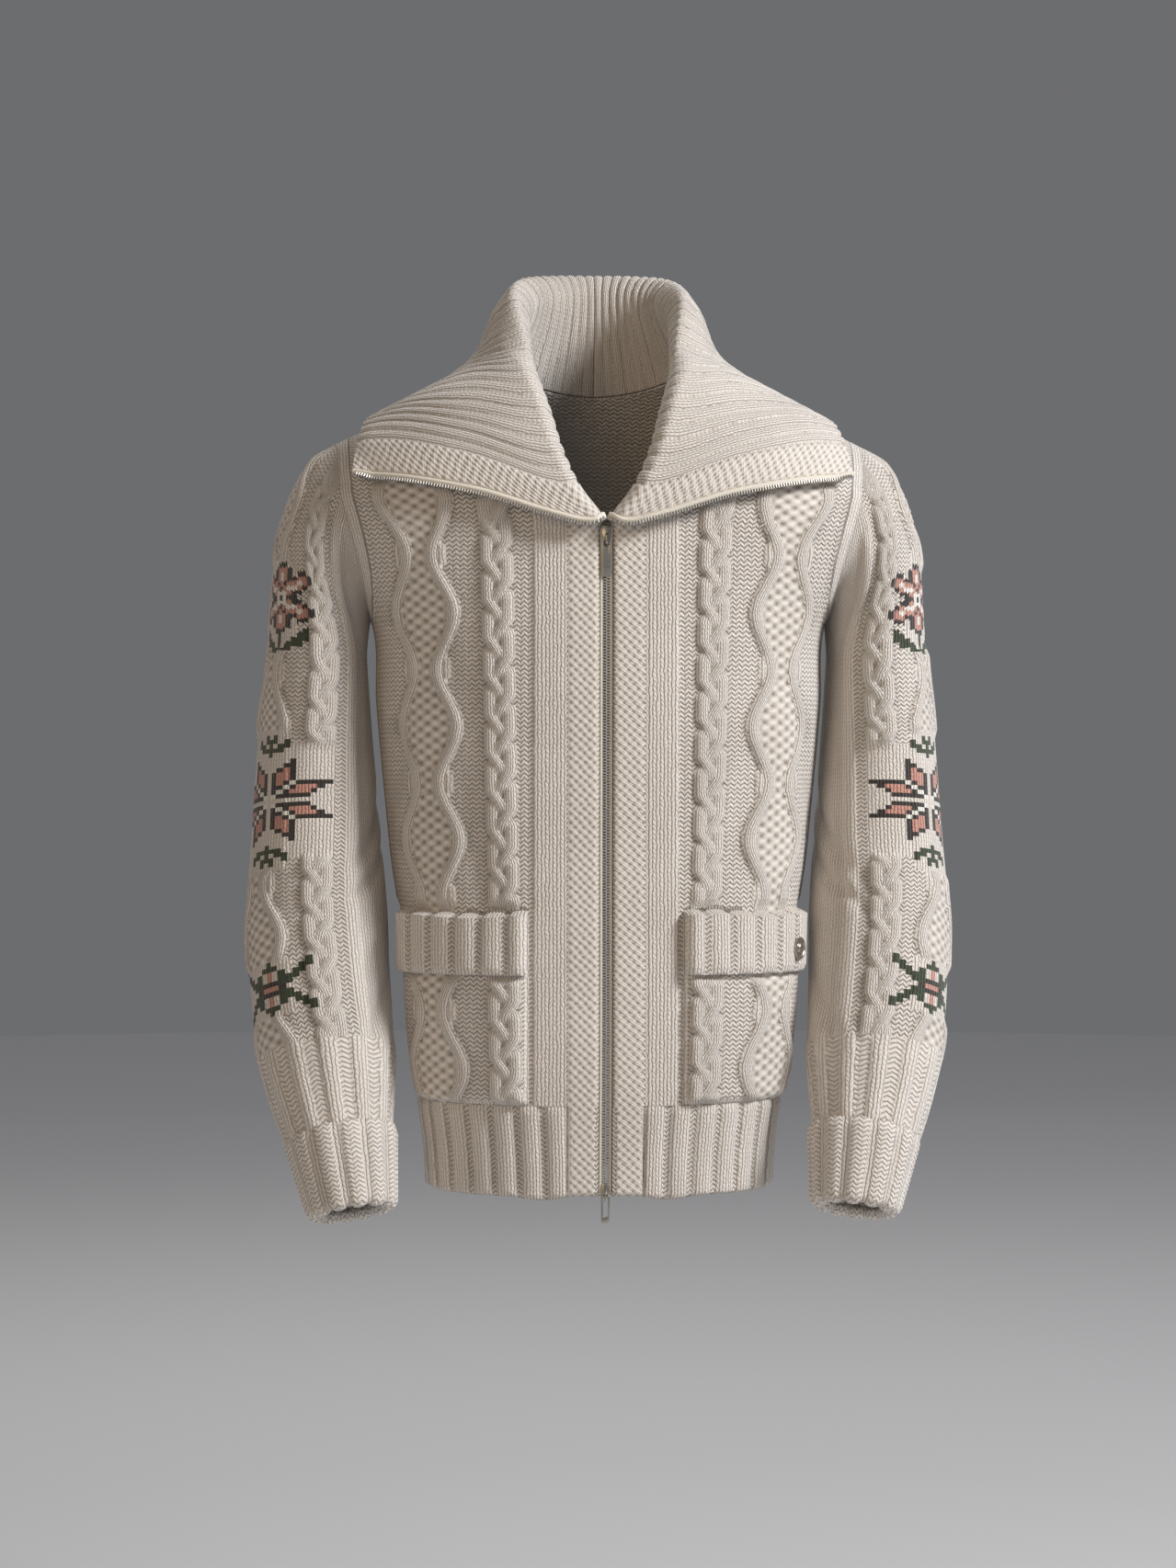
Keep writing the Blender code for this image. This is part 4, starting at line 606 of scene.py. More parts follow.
def reverse_height(tree, u, v):
    """Rows of interlocking bars that zigzag round the stitches, with a low gap under each that the wool fills
    with painted shade.
    """
    zigzag = add(tree, "Math MULTIPLY_ADD", add(tree, "Math PINGPONG", u, 0.5), 1.3, -0.32)
    row = add(tree, "Math FRACT", add(tree, "Math ADD", v, zigzag))
    bar = add(tree, "Math POWER", add(tree, "Math SINE", add(tree, "Math MULTIPLY", row, math.pi)), 0.7)
    turn = add(tree, "Math ABSOLUTE", add(tree, "Math SINE", add(tree, "Math MULTIPLY", u, 2 * math.pi)))
    thick = add(tree, "Math MULTIPLY_ADD", add(tree, "Math POWER", turn, 0.5), 0.22, 0.78)
    return add(tree, "Math MULTIPLY", bar, thick)


def lattice(tree, u, v, power):
    """Bumps set like bricks, one to each stitch and row, with a pit between each four."""
    across = add(tree, "Math COSINE", add(tree, "Math MULTIPLY", u, math.pi))
    up = add(tree, "Math COSINE", add(tree, "Math MULTIPLY", v, math.pi))
    bump = add(tree, "Math MULTIPLY_ADD", add(tree, "Math MULTIPLY", across, up), -0.5, 0.5)
    return add(tree, "Math POWER", bump, power)


def moss_height(tree, u, v):
    """Small slanting bumps, drawn out of line by the double rows, with the two plies' twist on them."""
    sway = add(tree, "Math SINE", add(tree, "Math MULTIPLY", v, math.pi / 2))
    lean = add(tree, "Math MULTIPLY_ADD", sway, 0.12, u)
    twist = add(tree, "Math ADD", lean, add(tree, "Math MULTIPLY", v, 1.5))
    ply = add(tree, "Math SINE", add(tree, "Math MULTIPLY", twist, 2 * math.pi))
    return add(tree, "Math MULTIPLY_ADD", ply, 0.06, lattice(tree, lean, v, 0.50))


def seed_height(tree, u, v):
    """Round pebbles with a hole between each four."""
    return lattice(tree, u, v, 0.6)


def wool(name, light, dark, pattern, deep=0.0011, depth=0.52):
    """Thick two-ply lambswool, knitted and unbrushed: matt, a little hairy, with painted shade down between
    the stitches.

    The hairs are 0.02 mm thick, far too fine to show, so they are drawn as 0.9 mm fuzz.  `light` is the
    yarn's own colour and `dark` the colour of its painted shade.  `deep` is the height of a stitch, and
    `depth` is how much painted shade darkens its bottom."""
    made, tree = empty_material(name)
    spot = add(tree, "TexCoord").outputs["Object"]
    uneven = add(tree, "TexNoise", spot, Scale=1 / UNEVEN, Detail=2.0).outputs["Color"]
    stitch = add(tree, "UVMap", uv_map="stitch")
    split = add(tree, "SeparateXYZ", add(tree, "VectorMath MULTIPLY_ADD", uneven, (0.42, 0.42, 0.0), stitch))
    height = pattern(tree, split.outputs[0], split.outputs[1])
    fuzz = add(tree, "TexNoise", spot, Scale=1 / HAIR, Detail=3.0, Roughness=0.7)
    mottle = add(tree, "TexNoise", spot, Scale=1 / MOTTLE, Detail=3.0)
    # painted shade: the colour darkens by `depth` where the stitch pattern is low, down between the stitches
    shade = add(tree, "Math MULTIPLY_ADD", height, depth, 0.80 - depth)
    shade = add(tree, "Math MULTIPLY_ADD", mottle, 0.22, shade)
    shade = add(tree, "Math MULTIPLY_ADD", fuzz, 0.20, shade)
    # painted shade: darker colour in the hollows beside the raised cables, strands and ribs
    hollow = add(tree, "Attribute", attribute_name="hollow").outputs["Fac"]
    shade = add(tree, "Math MULTIPLY", shade, add(tree, "Math MULTIPLY_ADD", hollow, -0.45, 1.0))
    # the colour runs from the painted shade colour `dark` up to the yarn's own colour `light`
    colour = add(tree, "Mix", data_type="RGBA", Factor=add(tree, "Clamp", shade), i6=linear(dark),
                 i7=linear(light)).outputs[2]
    relief = add(tree, "Math MULTIPLY_ADD", fuzz, 0.30, height)
    normal = add(tree, "Bump", Strength=1.0, Distance=deep, Height=relief)
    shader = add(tree, "BsdfPrincipled", Base_Color=colour, Roughness=0.92, Normal=normal, Sheen_Weight=0.30,
                 Sheen_Roughness=0.55, Specular_IOR_Level=0.25)
    add(tree, "OutputMaterial", shader)
    return made


def satin_nickel(name, code, roughness):
    """Nickel-plated zinc, tumbled to a satin: soft highlights, drawn out along fine scratches."""
    made, tree = empty_material(name)
    spot = add(tree, "TexCoord").outputs["Object"]
    long = add(tree, "Mapping", spot, Scale=(1.0, 1.0, 0.12))
    scratch = add(tree, "TexNoise", long, Scale=1 / SCRATCH, Detail=3.0)
    dull = add(tree, "Math MULTIPLY_ADD", scratch, 0.22, roughness - 0.11)
    tint = add(tree, "Mix", data_type="RGBA", Factor=scratch, i6=linear("#8f8c86"),
               i7=linear(code)).outputs[2]
    normal = add(tree, "Bump", Strength=0.4, Distance=0.00005, Height=scratch)
    shader = add(tree, "BsdfPrincipled", Base_Color=tint, Metallic=1.0, Roughness=dull, Normal=normal)
    add(tree, "OutputMaterial", shader)
    return made


def zip_ribbon(name):
    """Woven polyester zip tape: a fine, slightly shiny herringbone, with painted shade on its low threads."""
    made, tree = empty_material(name)
    split = add(tree, "SeparateXYZ", add(tree, "UVMap", uv_map="stitch"))
    side = add(tree, "Math PINGPONG", split.outputs[0], 1.0)
    slant = add(tree, "Math ADD", split.outputs[1], side)
    twill = add(tree, "Math SINE", add(tree, "Math MULTIPLY", slant, 2 * math.pi))
    height = add(tree, "Math MULTIPLY_ADD", twill, 0.5, 0.5)
    # painted shade: the herringbone's low parts are darker
    colour = add(tree, "Mix", data_type="RGBA", Factor=height, i6=linear("#d8d0c2"),
                 i7=linear("#f3ede1")).outputs[2]
    normal = add(tree, "Bump", Strength=0.8, Distance=0.0002, Height=height)
    shader = add(tree, "BsdfPrincipled", Base_Color=colour, Roughness=0.75, Normal=normal, Sheen_Weight=0.15)
    add(tree, "OutputMaterial", shader)
    return made


# the cream yarn's own colour, and the darker, warmer colour of its painted shade
CREAM = ("#e8e1da", "#6b5d48")
# Each finish: the yarn's colour, its painted shade colour, the stitch pattern, the stitch's height and how
# much painted shade darkens its bottom
FINISHES = (
    wool("cream wool, stocking stitch", *CREAM, stocking_height),
    wool("cream wool, reverse stocking stitch", *CREAM, reverse_height, 0.0016, 0.72),
    wool("cream wool, double moss stitch", *CREAM, moss_height, 0.0015, 0.66),
    wool("cream wool, seed stitch", *CREAM, seed_height, 0.0018, 0.78),
    wool("cream wool, reverse side of the ribs", *CREAM, reverse_height, 0.0012, 0.52),
    wool("charcoal wool, stocking stitch", "#3a3532", "#141110", stocking_height),
    wool("dark green wool, stocking stitch", "#3d4733", "#141a10", stocking_height),
    wool("dusty pink wool, stocking stitch", "#cf9a8c", "#744840", stocking_height),
    wool("white wool, stocking stitch", "#f6f3ec", "#a39b8a", stocking_height),
)
STOCKING, PURL, MOSSY, PEBBLED, RIBBED = 0, 1, 2, 3, 4
YARNS = {"k": 5, "g": 6, "p": 7, "w": 8}
NICKEL = satin_nickel("satin nickel", "#d2cfc8", 0.32)
TEETH = satin_nickel("nickel teeth", "#f0eee9", 0.48)
RIBBON = zip_ribbon("cream zip tape")


# ---- making a knitted sheet --------------------------------------------------------------------------------
def in_scene(name, data):
    made = bpy.data.objects.new(name, data)
    bpy.context.scene.collection.objects.link(made)
    return made


def hollows(rise):
    """How deep each place lies between its neighbours, 0 to 1, which the wool darkens as painted shade."""
    soft = rise
    for axis in (0, 1):
        for _ in range(2):
            padded = np.pad(soft, [(2, 2) if k == axis else (0, 0) for k in (0, 1)], mode="edge")
            soft = sum(np.take(padded, range(k, k + rise.shape[axis]), axis=axis) for k in range(5)) / 5
    return np.clip((soft - rise - 0.0003) / 0.0016, 0, 1)


def values_of(items, name, width=1, kind=np.int32):
    """One value, or a row of them, for each item of a mesh."""
    found = np.empty(len(items) * width, kind)
    items.foreach_get(name, found)
    return found if width == 1 else found.reshape(-1, width)


def grid_mesh(name, points, u, v, zone, finish, flip, hollow):
    """A mesh grid at `points`, with stitch coordinates and a finish on every face.  `u` and `v` hold one
    layer for each zone, and `zone` says which layer a face reads."""
    rows, columns = points.shape[:2]
    shell = bmesh.new()
    bmesh.ops.create_grid(shell, x_segments=columns - 1, y_segments=rows - 1, size=0.5)
    data = bpy.data.meshes.new(name)
    shell.to_mesh(data)
    shell.free()
    spots = values_of(data.vertices, "co", 3, np.float32)
    share = (spots - spots.min(axis=0))[:, :2] / np.ptp(spots, axis=0)[:2]
    i = np.rint(share[:, 0] * (columns - 1)).astype(int)
    j = np.rint(share[:, 1] * (rows - 1)).astype(int)
    if flip:
        i = columns - 1 - i
    place = j * columns + i
    data.vertices.foreach_set("co", points.reshape(-1, 3)[place].astype(np.float32).ravel())
    data.attributes.new("place", "INT", "POINT").data.foreach_set("value", place.astype(np.int32))
    # painted shade: how deep each point lies in a hollow, for the wool to darken
    depth = hollow.reshape(-1)[place].astype(np.float32)
    data.attributes.new("hollow", "FLOAT", "POINT").data.foreach_set("value", depth)
    at = place[values_of(data.loops, "vertex_index")]
    quads = at.reshape(-1, 4)
    row, col = (quads // columns).min(axis=1), (quads % columns).min(axis=1)
    layer = np.repeat(zone[row, col], 4)
    v = np.broadcast_to(v, u.shape)
    uv = np.stack([part[layer, at // columns, at % columns] for part in (u, v)], axis=-1)
    data.uv_layers.new(name="stitch").data.foreach_set("uv", uv.astype(np.float32).ravel())
    data.polygons.foreach_set("material_index", finish[row, col].astype(np.int32))
    return data


def knitted(name, base, rise, u, v, zone, finish, normals, closed=False, flip=False, thickness=WALL,
            finishes=FINISHES, inside=PURL):
    """A closed knitted sheet: `base` moved out by `rise` outside, and in by `thickness` inside."""
    outer = base + normals * rise[..., None]
    depth = np.broadcast_to(thickness, rise.shape)
    inner = (base - normals * depth[..., None]).reshape(-1, 3)
    data = grid_mesh(name, outer, u, v, zone, finish, flip, hollows(rise))
    if closed:
        shell = bmesh.new()
        shell.from_mesh(data)
        ends = [vert for vert in shell.verts if vert.is_boundary]
        bmesh.ops.remove_doubles(shell, verts=ends, dist=1e-6)
        shell.to_mesh(data)
        shell.free()
    made = in_scene(name, data)
    wall = made.modifiers.new("wall", "SOLIDIFY")
    wall.thickness = float(depth.mean())
    wall.offset = -1.0
    graph = bpy.context.evaluated_depsgraph_get()
    whole = bpy.data.meshes.new_from_object(made.evaluated_get(graph), preserve_all_data_layers=True,
                                            depsgraph=graph)
    made.modifiers.clear()
    count = len(data.vertices)
    made.data = whole
    whole.name = name
    bpy.data.meshes.remove(data)
    spots = values_of(whole.vertices, "co", 3, np.float32)
    place = values_of(whole.attributes["place"].data, "value")
    off = np.linalg.norm(spots - outer.reshape(-1, 3)[place], axis=1)
    hidden = np.arange(len(spots)) >= count
    if off[:count].sum() > off[count:].sum():
        hidden = ~hidden
    spots[hidden] = inner[place[hidden]]
    spots[~hidden] = outer.reshape(-1, 3)[place[~hidden]]
    whole.vertices.foreach_set("co", spots.ravel())
    whole.attributes.remove(whole.attributes["place"])
    for one in finishes:
        whole.materials.append(one)
    corner = values_of(whole.loops, "vertex_index")
    start, size = (values_of(whole.polygons, name) for name in ("loop_start", "loop_total"))
    index = values_of(whole.polygons, "material_index")
    index[np.add.reduceat(hidden[corner].astype(int), start) == size] = inside
    whole.polygons.foreach_set("material_index", index)
    whole.shade_smooth()
    whole.set_sharp_from_angle(angle=math.radians(70))
    return made


def dress(made, nodes):
    """Makes a sheet stand for its CAD nodes, which it hides, and attaches it to the garment."""
    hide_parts(*nodes)
    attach(made, "garment")
    return made


def middles(values):
    """Values at the middles of a grid's faces."""
    return (values[1:, 1:] + values[1:, :-1] + values[:-1, 1:] + values[:-1, :-1]) / 4


def arc_rows(points):
    """Length along each column of a grid, from its first row."""
    steps = np.linalg.norm(np.diff(points, axis=0), axis=-1)
    return np.concatenate([np.zeros((1, points.shape[1])), np.cumsum(steps, axis=0)])


def stretches(knots, counts):
    """Places between knots, with a count of steps for each stretch."""
    parts = [np.linspace(a, b, n + 1)[:-1] for a, b, n in zip(knots, knots[1:], counts)]
    return np.concatenate(parts + [[knots[-1]]])


def dome(away, half, power=0.55):
    return np.clip(1 - (np.asarray(away, float) / half) ** 2, 0, 1) ** power


def plateau(x, first, last, soft):
    """1 between first and last, falling smoothly to 0 over `soft` on each side."""
    t = np.clip(np.minimum((x - first) / soft + 0.5, (last - x) / soft + 0.5), 0, 1)
    return t * t * (3 - 2 * t)


# ---- cables, diamonds and bands ----------------------------------------------------------------------------
# One strand of the plait over six steps of 16.5 mm: it crosses over, under, rests at the side, and comes back
PLAIT_COLUMNS = ("step", "place", "level")
PLAIT = (
    (0.0, -1.0, 0.0),
    (0.2, -0.9, 0.5),
    (0.5, -0.5, 1.0),
    (0.8, -0.1, 0.5),
    (1.0, 0.0, 0.0),
    (1.2, 0.1, -0.5),
    (1.5, 0.5, -1.0),
    (1.8, 0.9, -0.5),
    (2.0, 1.0, 0.0),
    (3.0, 1.0, 0.0),
    (3.2, 0.9, 0.5),
    (3.5, 0.5, 1.0),
    (3.8, 0.1, 0.5),
    (4.0, 0.0, 0.0),
    (4.2, -0.1, -0.5),
    (4.5, -0.5, -1.0),
    (4.8, -0.9, -0.5),
    (5.0, -1.0, 0.0),
    (6.0, -1.0, 0.0),
)
CABLE_SLOT = 0.0082     # from the plait's middle line to its outer strands
CABLE_STRAND = 0.0064   # half width of one strand
CABLE_REACH = CABLE_SLOT + CABLE_STRAND
DIAMOND_REACH = 0.0366  # half width of the diamond column
OVAL_PLACE = 0.0205     # from the diamonds' middle line to the ovals'


def strands(x, z, start):
    """Tops and middle lines of the cable's three strands, at x from the cable's middle."""
    tops, lines = [], []
    for strand in range(3):
        step = 6 * ((start - z) / PERIOD + strand / 3) - 0.5
        steps = column(PLAIT, PLAIT_COLUMNS, "step")
        place, level = (np.interp(step, steps, column(PLAIT, PLAIT_COLUMNS, name), period=6)
                        for name in ("place", "level"))
        line = CABLE_SLOT * place
        height = 0.90 + 0.20 * np.maximum(level, 0) + 0.55 * np.minimum(level, 0)
        tops.append(height * dome(x - line, CABLE_STRAND, 0.42))
        lines.append(line)
    return np.array(tops), np.array(lines)


def oval(x, z):
    """Small smooth ovals outside the diamonds' waists."""
    along = (z - WIDEST) % PERIOD - PERIOD / 2
    return np.clip(1 - ((np.abs(x) - OVAL_PLACE) / 0.0036) ** 2 - (along / 0.0135) ** 2, 0, 1) ** 0.5


def diamond_rise(x, z):
    away, place = np.abs(x), strand_place(z)
    strand = STRAND_RISE * dome(away - place, STRAND_HALF, 0.36)
    inside = plateau(away, -1, place - STRAND_HALF, 0.0012)
    pebbles = -np.cos(math.pi * x / SEED[0]) * np.cos(math.pi * z / SEED[1])
    near = plateau(away, -1, DIAMOND_REACH - 0.0004, 0.0008)
    ground = inside * (SEED_RISE + PEBBLE_RISE * pebbles)
    return near * np.maximum(np.maximum(strand, ground), OVAL_RISE * oval(x, z))


def column_zones(x, z, cable_x, start, diamond_x, plain):
    """Zone of each face: 0 reverse, 1 moss, 2 stocking, 3-5 cable strands, 6-7 diamond strands, 8 seed and
    9 oval.  The sleeves add 10 for the ribs' grooves, 11 for their raised part and 12 for the edge ridge."""
    zone = np.zeros(x.shape, int)
    zone[plain] = 2
    tops, _ = strands(cable_x, z, start)
    on_cable = np.abs(cable_x) < CABLE_REACH
    zone = np.where(on_cable & (tops.max(axis=0) > 0.02), 3 + tops.argmax(axis=0), zone)
    away, place = np.abs(diamond_x), strand_place(z)
    zone = np.where(np.abs(away - place) < STRAND_HALF, np.where(diamond_x < 0, 6, 7), zone)
    zone = np.where(away < place - STRAND_HALF, 8, zone)
    return np.where((oval(diamond_x, z) > 0) & (away > place + STRAND_HALF), 9, zone)


ZONE_FINISH = np.array([PURL, MOSSY] + [STOCKING] * 6 + [PEBBLED, STOCKING, RIBBED, STOCKING, STOCKING])


def column_stitches(x, z, cable_x, start, diamond_x, plain_from):
    """Stitch coordinates across and up the cloth, one layer for each zone."""
    _, lines = strands(cable_x, z, start)
    place = strand_place(z)
    sign = np.where(diamond_x < 0, -1.0, 1.0)
    across = [x / WALE, (x - MOSS_BAND[0]) / MOSS[0], (x - plain_from) / WALE]
    across += [(cable_x - line) / CABLE_STRAND * 1.5 + 0.5 for line in lines]
    across += [(diamond_x + side * place) / STRAND_HALF * 1.5 + 0.5 for side in (1, -1)]
    across += [diamond_x / SEED[0], (diamond_x - sign * OVAL_PLACE) / WALE + 0.5]
    heights = [COURSE, MOSS[1]] + [COURSE] * 6 + [SEED[1], COURSE]
    return np.array(across), np.array([z / height for height in heights])


def cable_rise(x, z, start):
    return CABLE_RISE * strands(x, z, start)[0].max(axis=0)


# ---- fronts ------------------------------------------------------------------------------------------------
def front_places(z):
    """Places across a front at one height, its cable's and its diamond's middle, and its edge."""
    cable, middle = float(band("cable", z)), float(band("diamond", z))
    edge = edge_arc(round(z, 6), "front")
    knots = [NECK_V[0], 0.0078, 0.0330, 0.0345, 0.0630, 0.0645, cable - CABLE_REACH, cable + CABLE_REACH,
             middle - DIAMOND_REACH, middle + DIAMOND_REACH, edge - EDGE_BAND, edge]
    return stretches(knots, (1, 12, 1, 14, 1, 6, 16, 7, 36, 5, 6)), cable, middle, edge


def make_front(half):
    """A front in its bands, from the zip out: moss, stocking, cable and diamond on a reverse ground."""
    heights = list(np.arange(math.ceil(RIB_TOP / COURSE * 2), math.floor(CHEST / COURSE * 2)) * COURSE / 2)
    heights = [RIB_TOP] + [z for z in heights if z > RIB_TOP + 0.001]
    rows = heights + list(CHEST + np.linspace(0, 1, 45))
    base, x, z, cable_x, diamond_x, edge_x = [], [], [], [], [], []
    for row in rows:
        low = min(row, CHEST)
        across, cable, middle, edge = front_places(low)
        base.append(torso_point(half * across, row, "front"))
        x.append(across)
        z.append(np.full(across.shape, low))
        cable_x.append(across - cable)
        diamond_x.append(across - middle)
        edge_x.append(edge - across)
    base, x, z, cable_x, diamond_x, edge_x = map(np.array, (base, x, z, cable_x, diamond_x, edge_x))
    over = arc_rows(base[len(heights):])
    z[len(heights):] += over
    base = sink(base, FRONT_FOLDS, half)
    normals = grid_normals(base) * half
    start = LOBE_START[half]
    moss = plateau(x, MOSS_BAND[0], MOSS_BAND[1], 0.0010)
    plain = plateau(x, PLAIN_BAND[0], PLAIN_BAND[1], 0.0010)
    edge = plateau(edge_x, -1, EDGE_BAND, 0.0012)
    across, up = column_stitches(x, z, cable_x, start, diamond_x, PLAIN_BAND[0])
    across[2] = np.where(edge_x < EDGE_BAND, edge_x / EDGE_BAND * 2, across[2])
    rise = moss * MOSS_BAND[2] + plain * (PLAIN_BAND[2] + 0.0003) + edge * EDGE_RISE
    rise += cable_rise(cable_x, z, start) + diamond_rise(diamond_x, z)
    rise *= np.clip((-0.088 - base[..., 2]) / 0.008, 0, 1)
    clear = np.clip((z - POCKET[3] - 0.002) / 0.008, 0, 1)
    rise = np.where(x > POCKET[0] - 0.003, rise * clear, rise)
    xc, zc = middles(x), middles(z)
    is_plain = ((xc > PLAIN_BAND[0]) & (xc < PLAIN_BAND[1])) | (middles(edge_x) < EDGE_BAND)
    zone = column_zones(xc, zc, middles(cable_x), start, middles(diamond_x), is_plain)
    zone[(xc > MOSS_BAND[0]) & (xc < MOSS_BAND[1])] = 1
    name = "front_" + SIDES[half]
    made = knitted("knit_" + name, base, rise, across, up, zone, ZONE_FINISH[zone], normals, flip=half < 0)
    return dress(made, [name])


def sink(base, table, half):
    """The surface with its soft folds pressed in, except at its edges."""
    normals = grid_normals(base) * half
    across = arc_rows(base.transpose(1, 0, 2)).T + NECK_V[0]
    depth = folds(table, across, base[..., 2])
    fade = np.clip((across[:, -1:] - across) / 0.02, 0, 1)
    depth *= fade * fold_share(base[..., 2])
    return base - normals * depth[..., None]


# ---- back --------------------------------------------------------------------------------------------------
def make_back():
    """The back in stocking stitch throughout."""
    arc, x, _ = section(CHEST, "back")
    neck = float(np.interp(NECK_POINT[0] * armhole(CHEST) / SHOULDER_TIP[0], x, arc))
    rows = list(np.linspace(RIB_TOP, CHEST, 120)) + list(CHEST + np.linspace(0, 1, 30)[1:])
    base, place = [], []
    for row in rows:
        z = round(min(row, CHEST), 6)
        half = stretches([0, neck, edge_arc(z, "back")], (22, 38))
        across = np.concatenate([-half[:0:-1], [1e-6], half[1:]])
        base.append(torso_point(across, row, "back"))
        place.append(across)
    base, place = np.array(base), np.array(place)
    normals = -grid_normals(base)
    depth = folds(BACK_FOLDS, place, base[..., 2])
    depth *= np.clip((place[:, -1:] - np.abs(place)) / 0.02, 0, 1)
    depth *= fold_share(base[..., 2])
    base = base - normals * depth[..., None]
    v = arc_rows(base) / COURSE
    zone = np.zeros((base.shape[0] - 1, base.shape[1] - 1), int)
    made = knitted("knit_back", base, np.zeros(place.shape), np.array([place / WALE]), v, zone,
                   np.full(zone.shape, STOCKING), normals, flip=True)
    return dress(made, ["back"])


# ---- hem ---------------------------------------------------------------------------------------------------
def hem_edge(across):
    """Lower edge of the hem, which waves a little."""
    wave = 0.0035 * np.cos(across / 0.021) * np.exp(-(((np.abs(across) - 0.05) / 0.03) ** 2))
    return HEM_HEIGHT + wave + 0.006 * np.clip((np.abs(across) - 0.20) / 0.06, 0, 1) ** 2


RIB_SHARE = 0.76        # raised share of a rib


def rib_rise(phase, raised, rise):
    """Rounded ribs: `phase` counts ribs, and `raised` is the share of each that stands up."""
    away = np.abs((phase % 1.0) - raised / 2)
    away = np.minimum(away, 1 - away)
    return rise * dome(away, raised / 2, 0.42)


def make_hem(name, side, half):
    """The rib along the lower edge: wide raised ribs parted by narrow grooves that hold one purl stitch."""
    top_edge = edge_arc(RIB_TOP, side)
    first, pitch = HEM_RIB[:2]
    count = int((top_edge - 0.004 - first) // pitch)
    pitch = (top_edge - 0.004 - first) / count
    outer = np.array([first + k * pitch / 12 for k in range(12 * count + 1)] + [top_edge - 0.002, top_edge])
    if side == "front":
        places = np.concatenate([stretches([NECK_V[0], 0.0078, 0.0330], (1, 12)), outer])
    else:
        places = np.concatenate([-outer[::-1], stretches([-0.0315, 0.0315], (36,)), outer])
    levels = np.linspace(0, 1, 30)
    base = []
    for level in levels:
        row = []
        for place in places:
            z = round(float(hem_edge(place) * (1 - level) + RIB_TOP * level), 4)
            scaled = place * edge_arc(z, side) / top_edge if abs(place) > first else place
            row.append(torso_point(np.array([half * scaled]), z, side)[0])
        base.append(row)
    base = np.array(base)
    x = np.tile(np.abs(places), (len(levels), 1))
    z = base[..., 2]
    normals = grid_normals(base) * (half if side == "front" else -1)
    phase = np.where(x > first - 0.0005, (x - first) / pitch, (x - 0.0315) / 0.021)
    ribs = rib_rise(phase, RIB_SHARE, 0.0032) * (0.4 + 0.6 * plateau(RIB_TOP - z, 0.003, 1, 0.006))
    bead = (x > MOSS_BAND[0]) & (x < MOSS_BAND[1]) if side == "front" else np.zeros(x.shape, bool)
    rise = np.where(bead, MOSS_BAND[2], ribs * plateau(x, first if side == "front" else -1, top_edge, 0.001))
    end = np.clip(1 - arc_rows(base) / 0.0030, 0, 1)
    rise = rise * (1 - 0.5 * end**2) - 0.0018 * end**2
    xc = middles(x)
    zone = np.where((middles(phase) % 1.0) < RIB_SHARE, 1, 0)
    zone = np.where(middles(bead.astype(float)) > 0.5, 2, zone)
    across = np.array([(phase - RIB_SHARE) / (1 - RIB_SHARE), phase / RIB_SHARE * 3,
                       (x - MOSS_BAND[0]) / MOSS[0]])
    up = np.array([z / COURSE, z / COURSE, z / MOSS[1]])
    finish = np.array([PURL, STOCKING, MOSSY])[zone]
    made = knitted("knit_" + name, base, rise, across, up, zone, finish, normals,
                   flip=(half < 0) if side == "front" else True)
    return dress(made, [name])


# ---- pockets -----------------------------------------------------------------------------------------------
def lifted(half, rows, places_at, stand):
    """A grid that lies on a front's own points, moved out by `stand`, with its outward normals."""
    base = np.array([torso_point(half * np.array(places_at(z)), round(z, 6), "front") for z in rows])
    across = arc_rows(base.transpose(1, 0, 2)).T + POCKET[0]
    normals = grid_normals(base) * half
    depth = folds(FRONT_FOLDS, across, base[..., 2]) * fold_share(base[..., 2])
    return base + normals * (stand - depth)[..., None], normals


FOLD_STAND = ((2 * WALL + 2 * POCKET_STAND) + POCKET_STAND) / 2     # middle of the welt's fold
FOLD_RADIUS = FOLD_STAND - POCKET_STAND
FOLD_TOP = POCKET[3] + 0.001


def make_pocket(half):
    """A patch pocket with the front's cable and diamond, sewn down along its sides and lower edge."""
    steps = int((FOLD_TOP - FOLD_RADIUS - POCKET[2]) / COURSE * 2)
    rows = list(np.linspace(POCKET[2] - 0.0005, FOLD_TOP - FOLD_RADIUS, steps))

    def places(z):
        cable, middle = float(band("cable", z)), float(band("diamond", z))
        knots = [POCKET[0], POCKET[0] + 0.0034, cable - CABLE_REACH, cable + CABLE_REACH,
                 middle - DIAMOND_REACH, middle + DIAMOND_REACH, POCKET[1] - 0.005, POCKET[1]]
        return stretches(knots, (4, 2, 16, 7, 36, 3, 5))

    x = np.array([places(z) for z in rows])
    z = np.tile(np.array(rows)[:, None], (1, x.shape[1]))
    cable_x = x - band("cable", z)
    diamond_x = x - band("diamond", z)
    border = np.minimum(np.minimum(x - POCKET[0], POCKET[1] - x), z - rows[0])
    free = plateau(border, 0.004, 1, 0.009)
    stand = 0.0020 + (WALL + POCKET_STAND - 0.0020) * free - 0.0008 * np.clip(1 - border / 0.0015, 0, 1)
    base, normals = lifted(half, rows, places, stand)
    start = LOBE_START[half]
    rise = cable_rise(cable_x, z, start) + diamond_rise(diamond_x, z)
    rise *= np.clip((WELT_LOW - 0.003 - z) / 0.004, 0, 1) * (0.25 + 0.75 * np.clip(border / 0.005, 0, 1))
    across, up = column_stitches(x, z, cable_x, start, diamond_x, 0.0)
    xc, zc = middles(x), middles(z)
    zone = column_zones(xc, zc, middles(cable_x), start, middles(diamond_x), middles(border) < 0.0035)
    name = "pocket_" + SIDES[half]
    made = knitted("knit_" + name, base, rise, across, up, zone, ZONE_FINISH[zone], normals, flip=half < 0,
                   thickness=stand - 0.0003 - (POCKET_STAND - 0.0003) * free)
    return dress(made, [name])


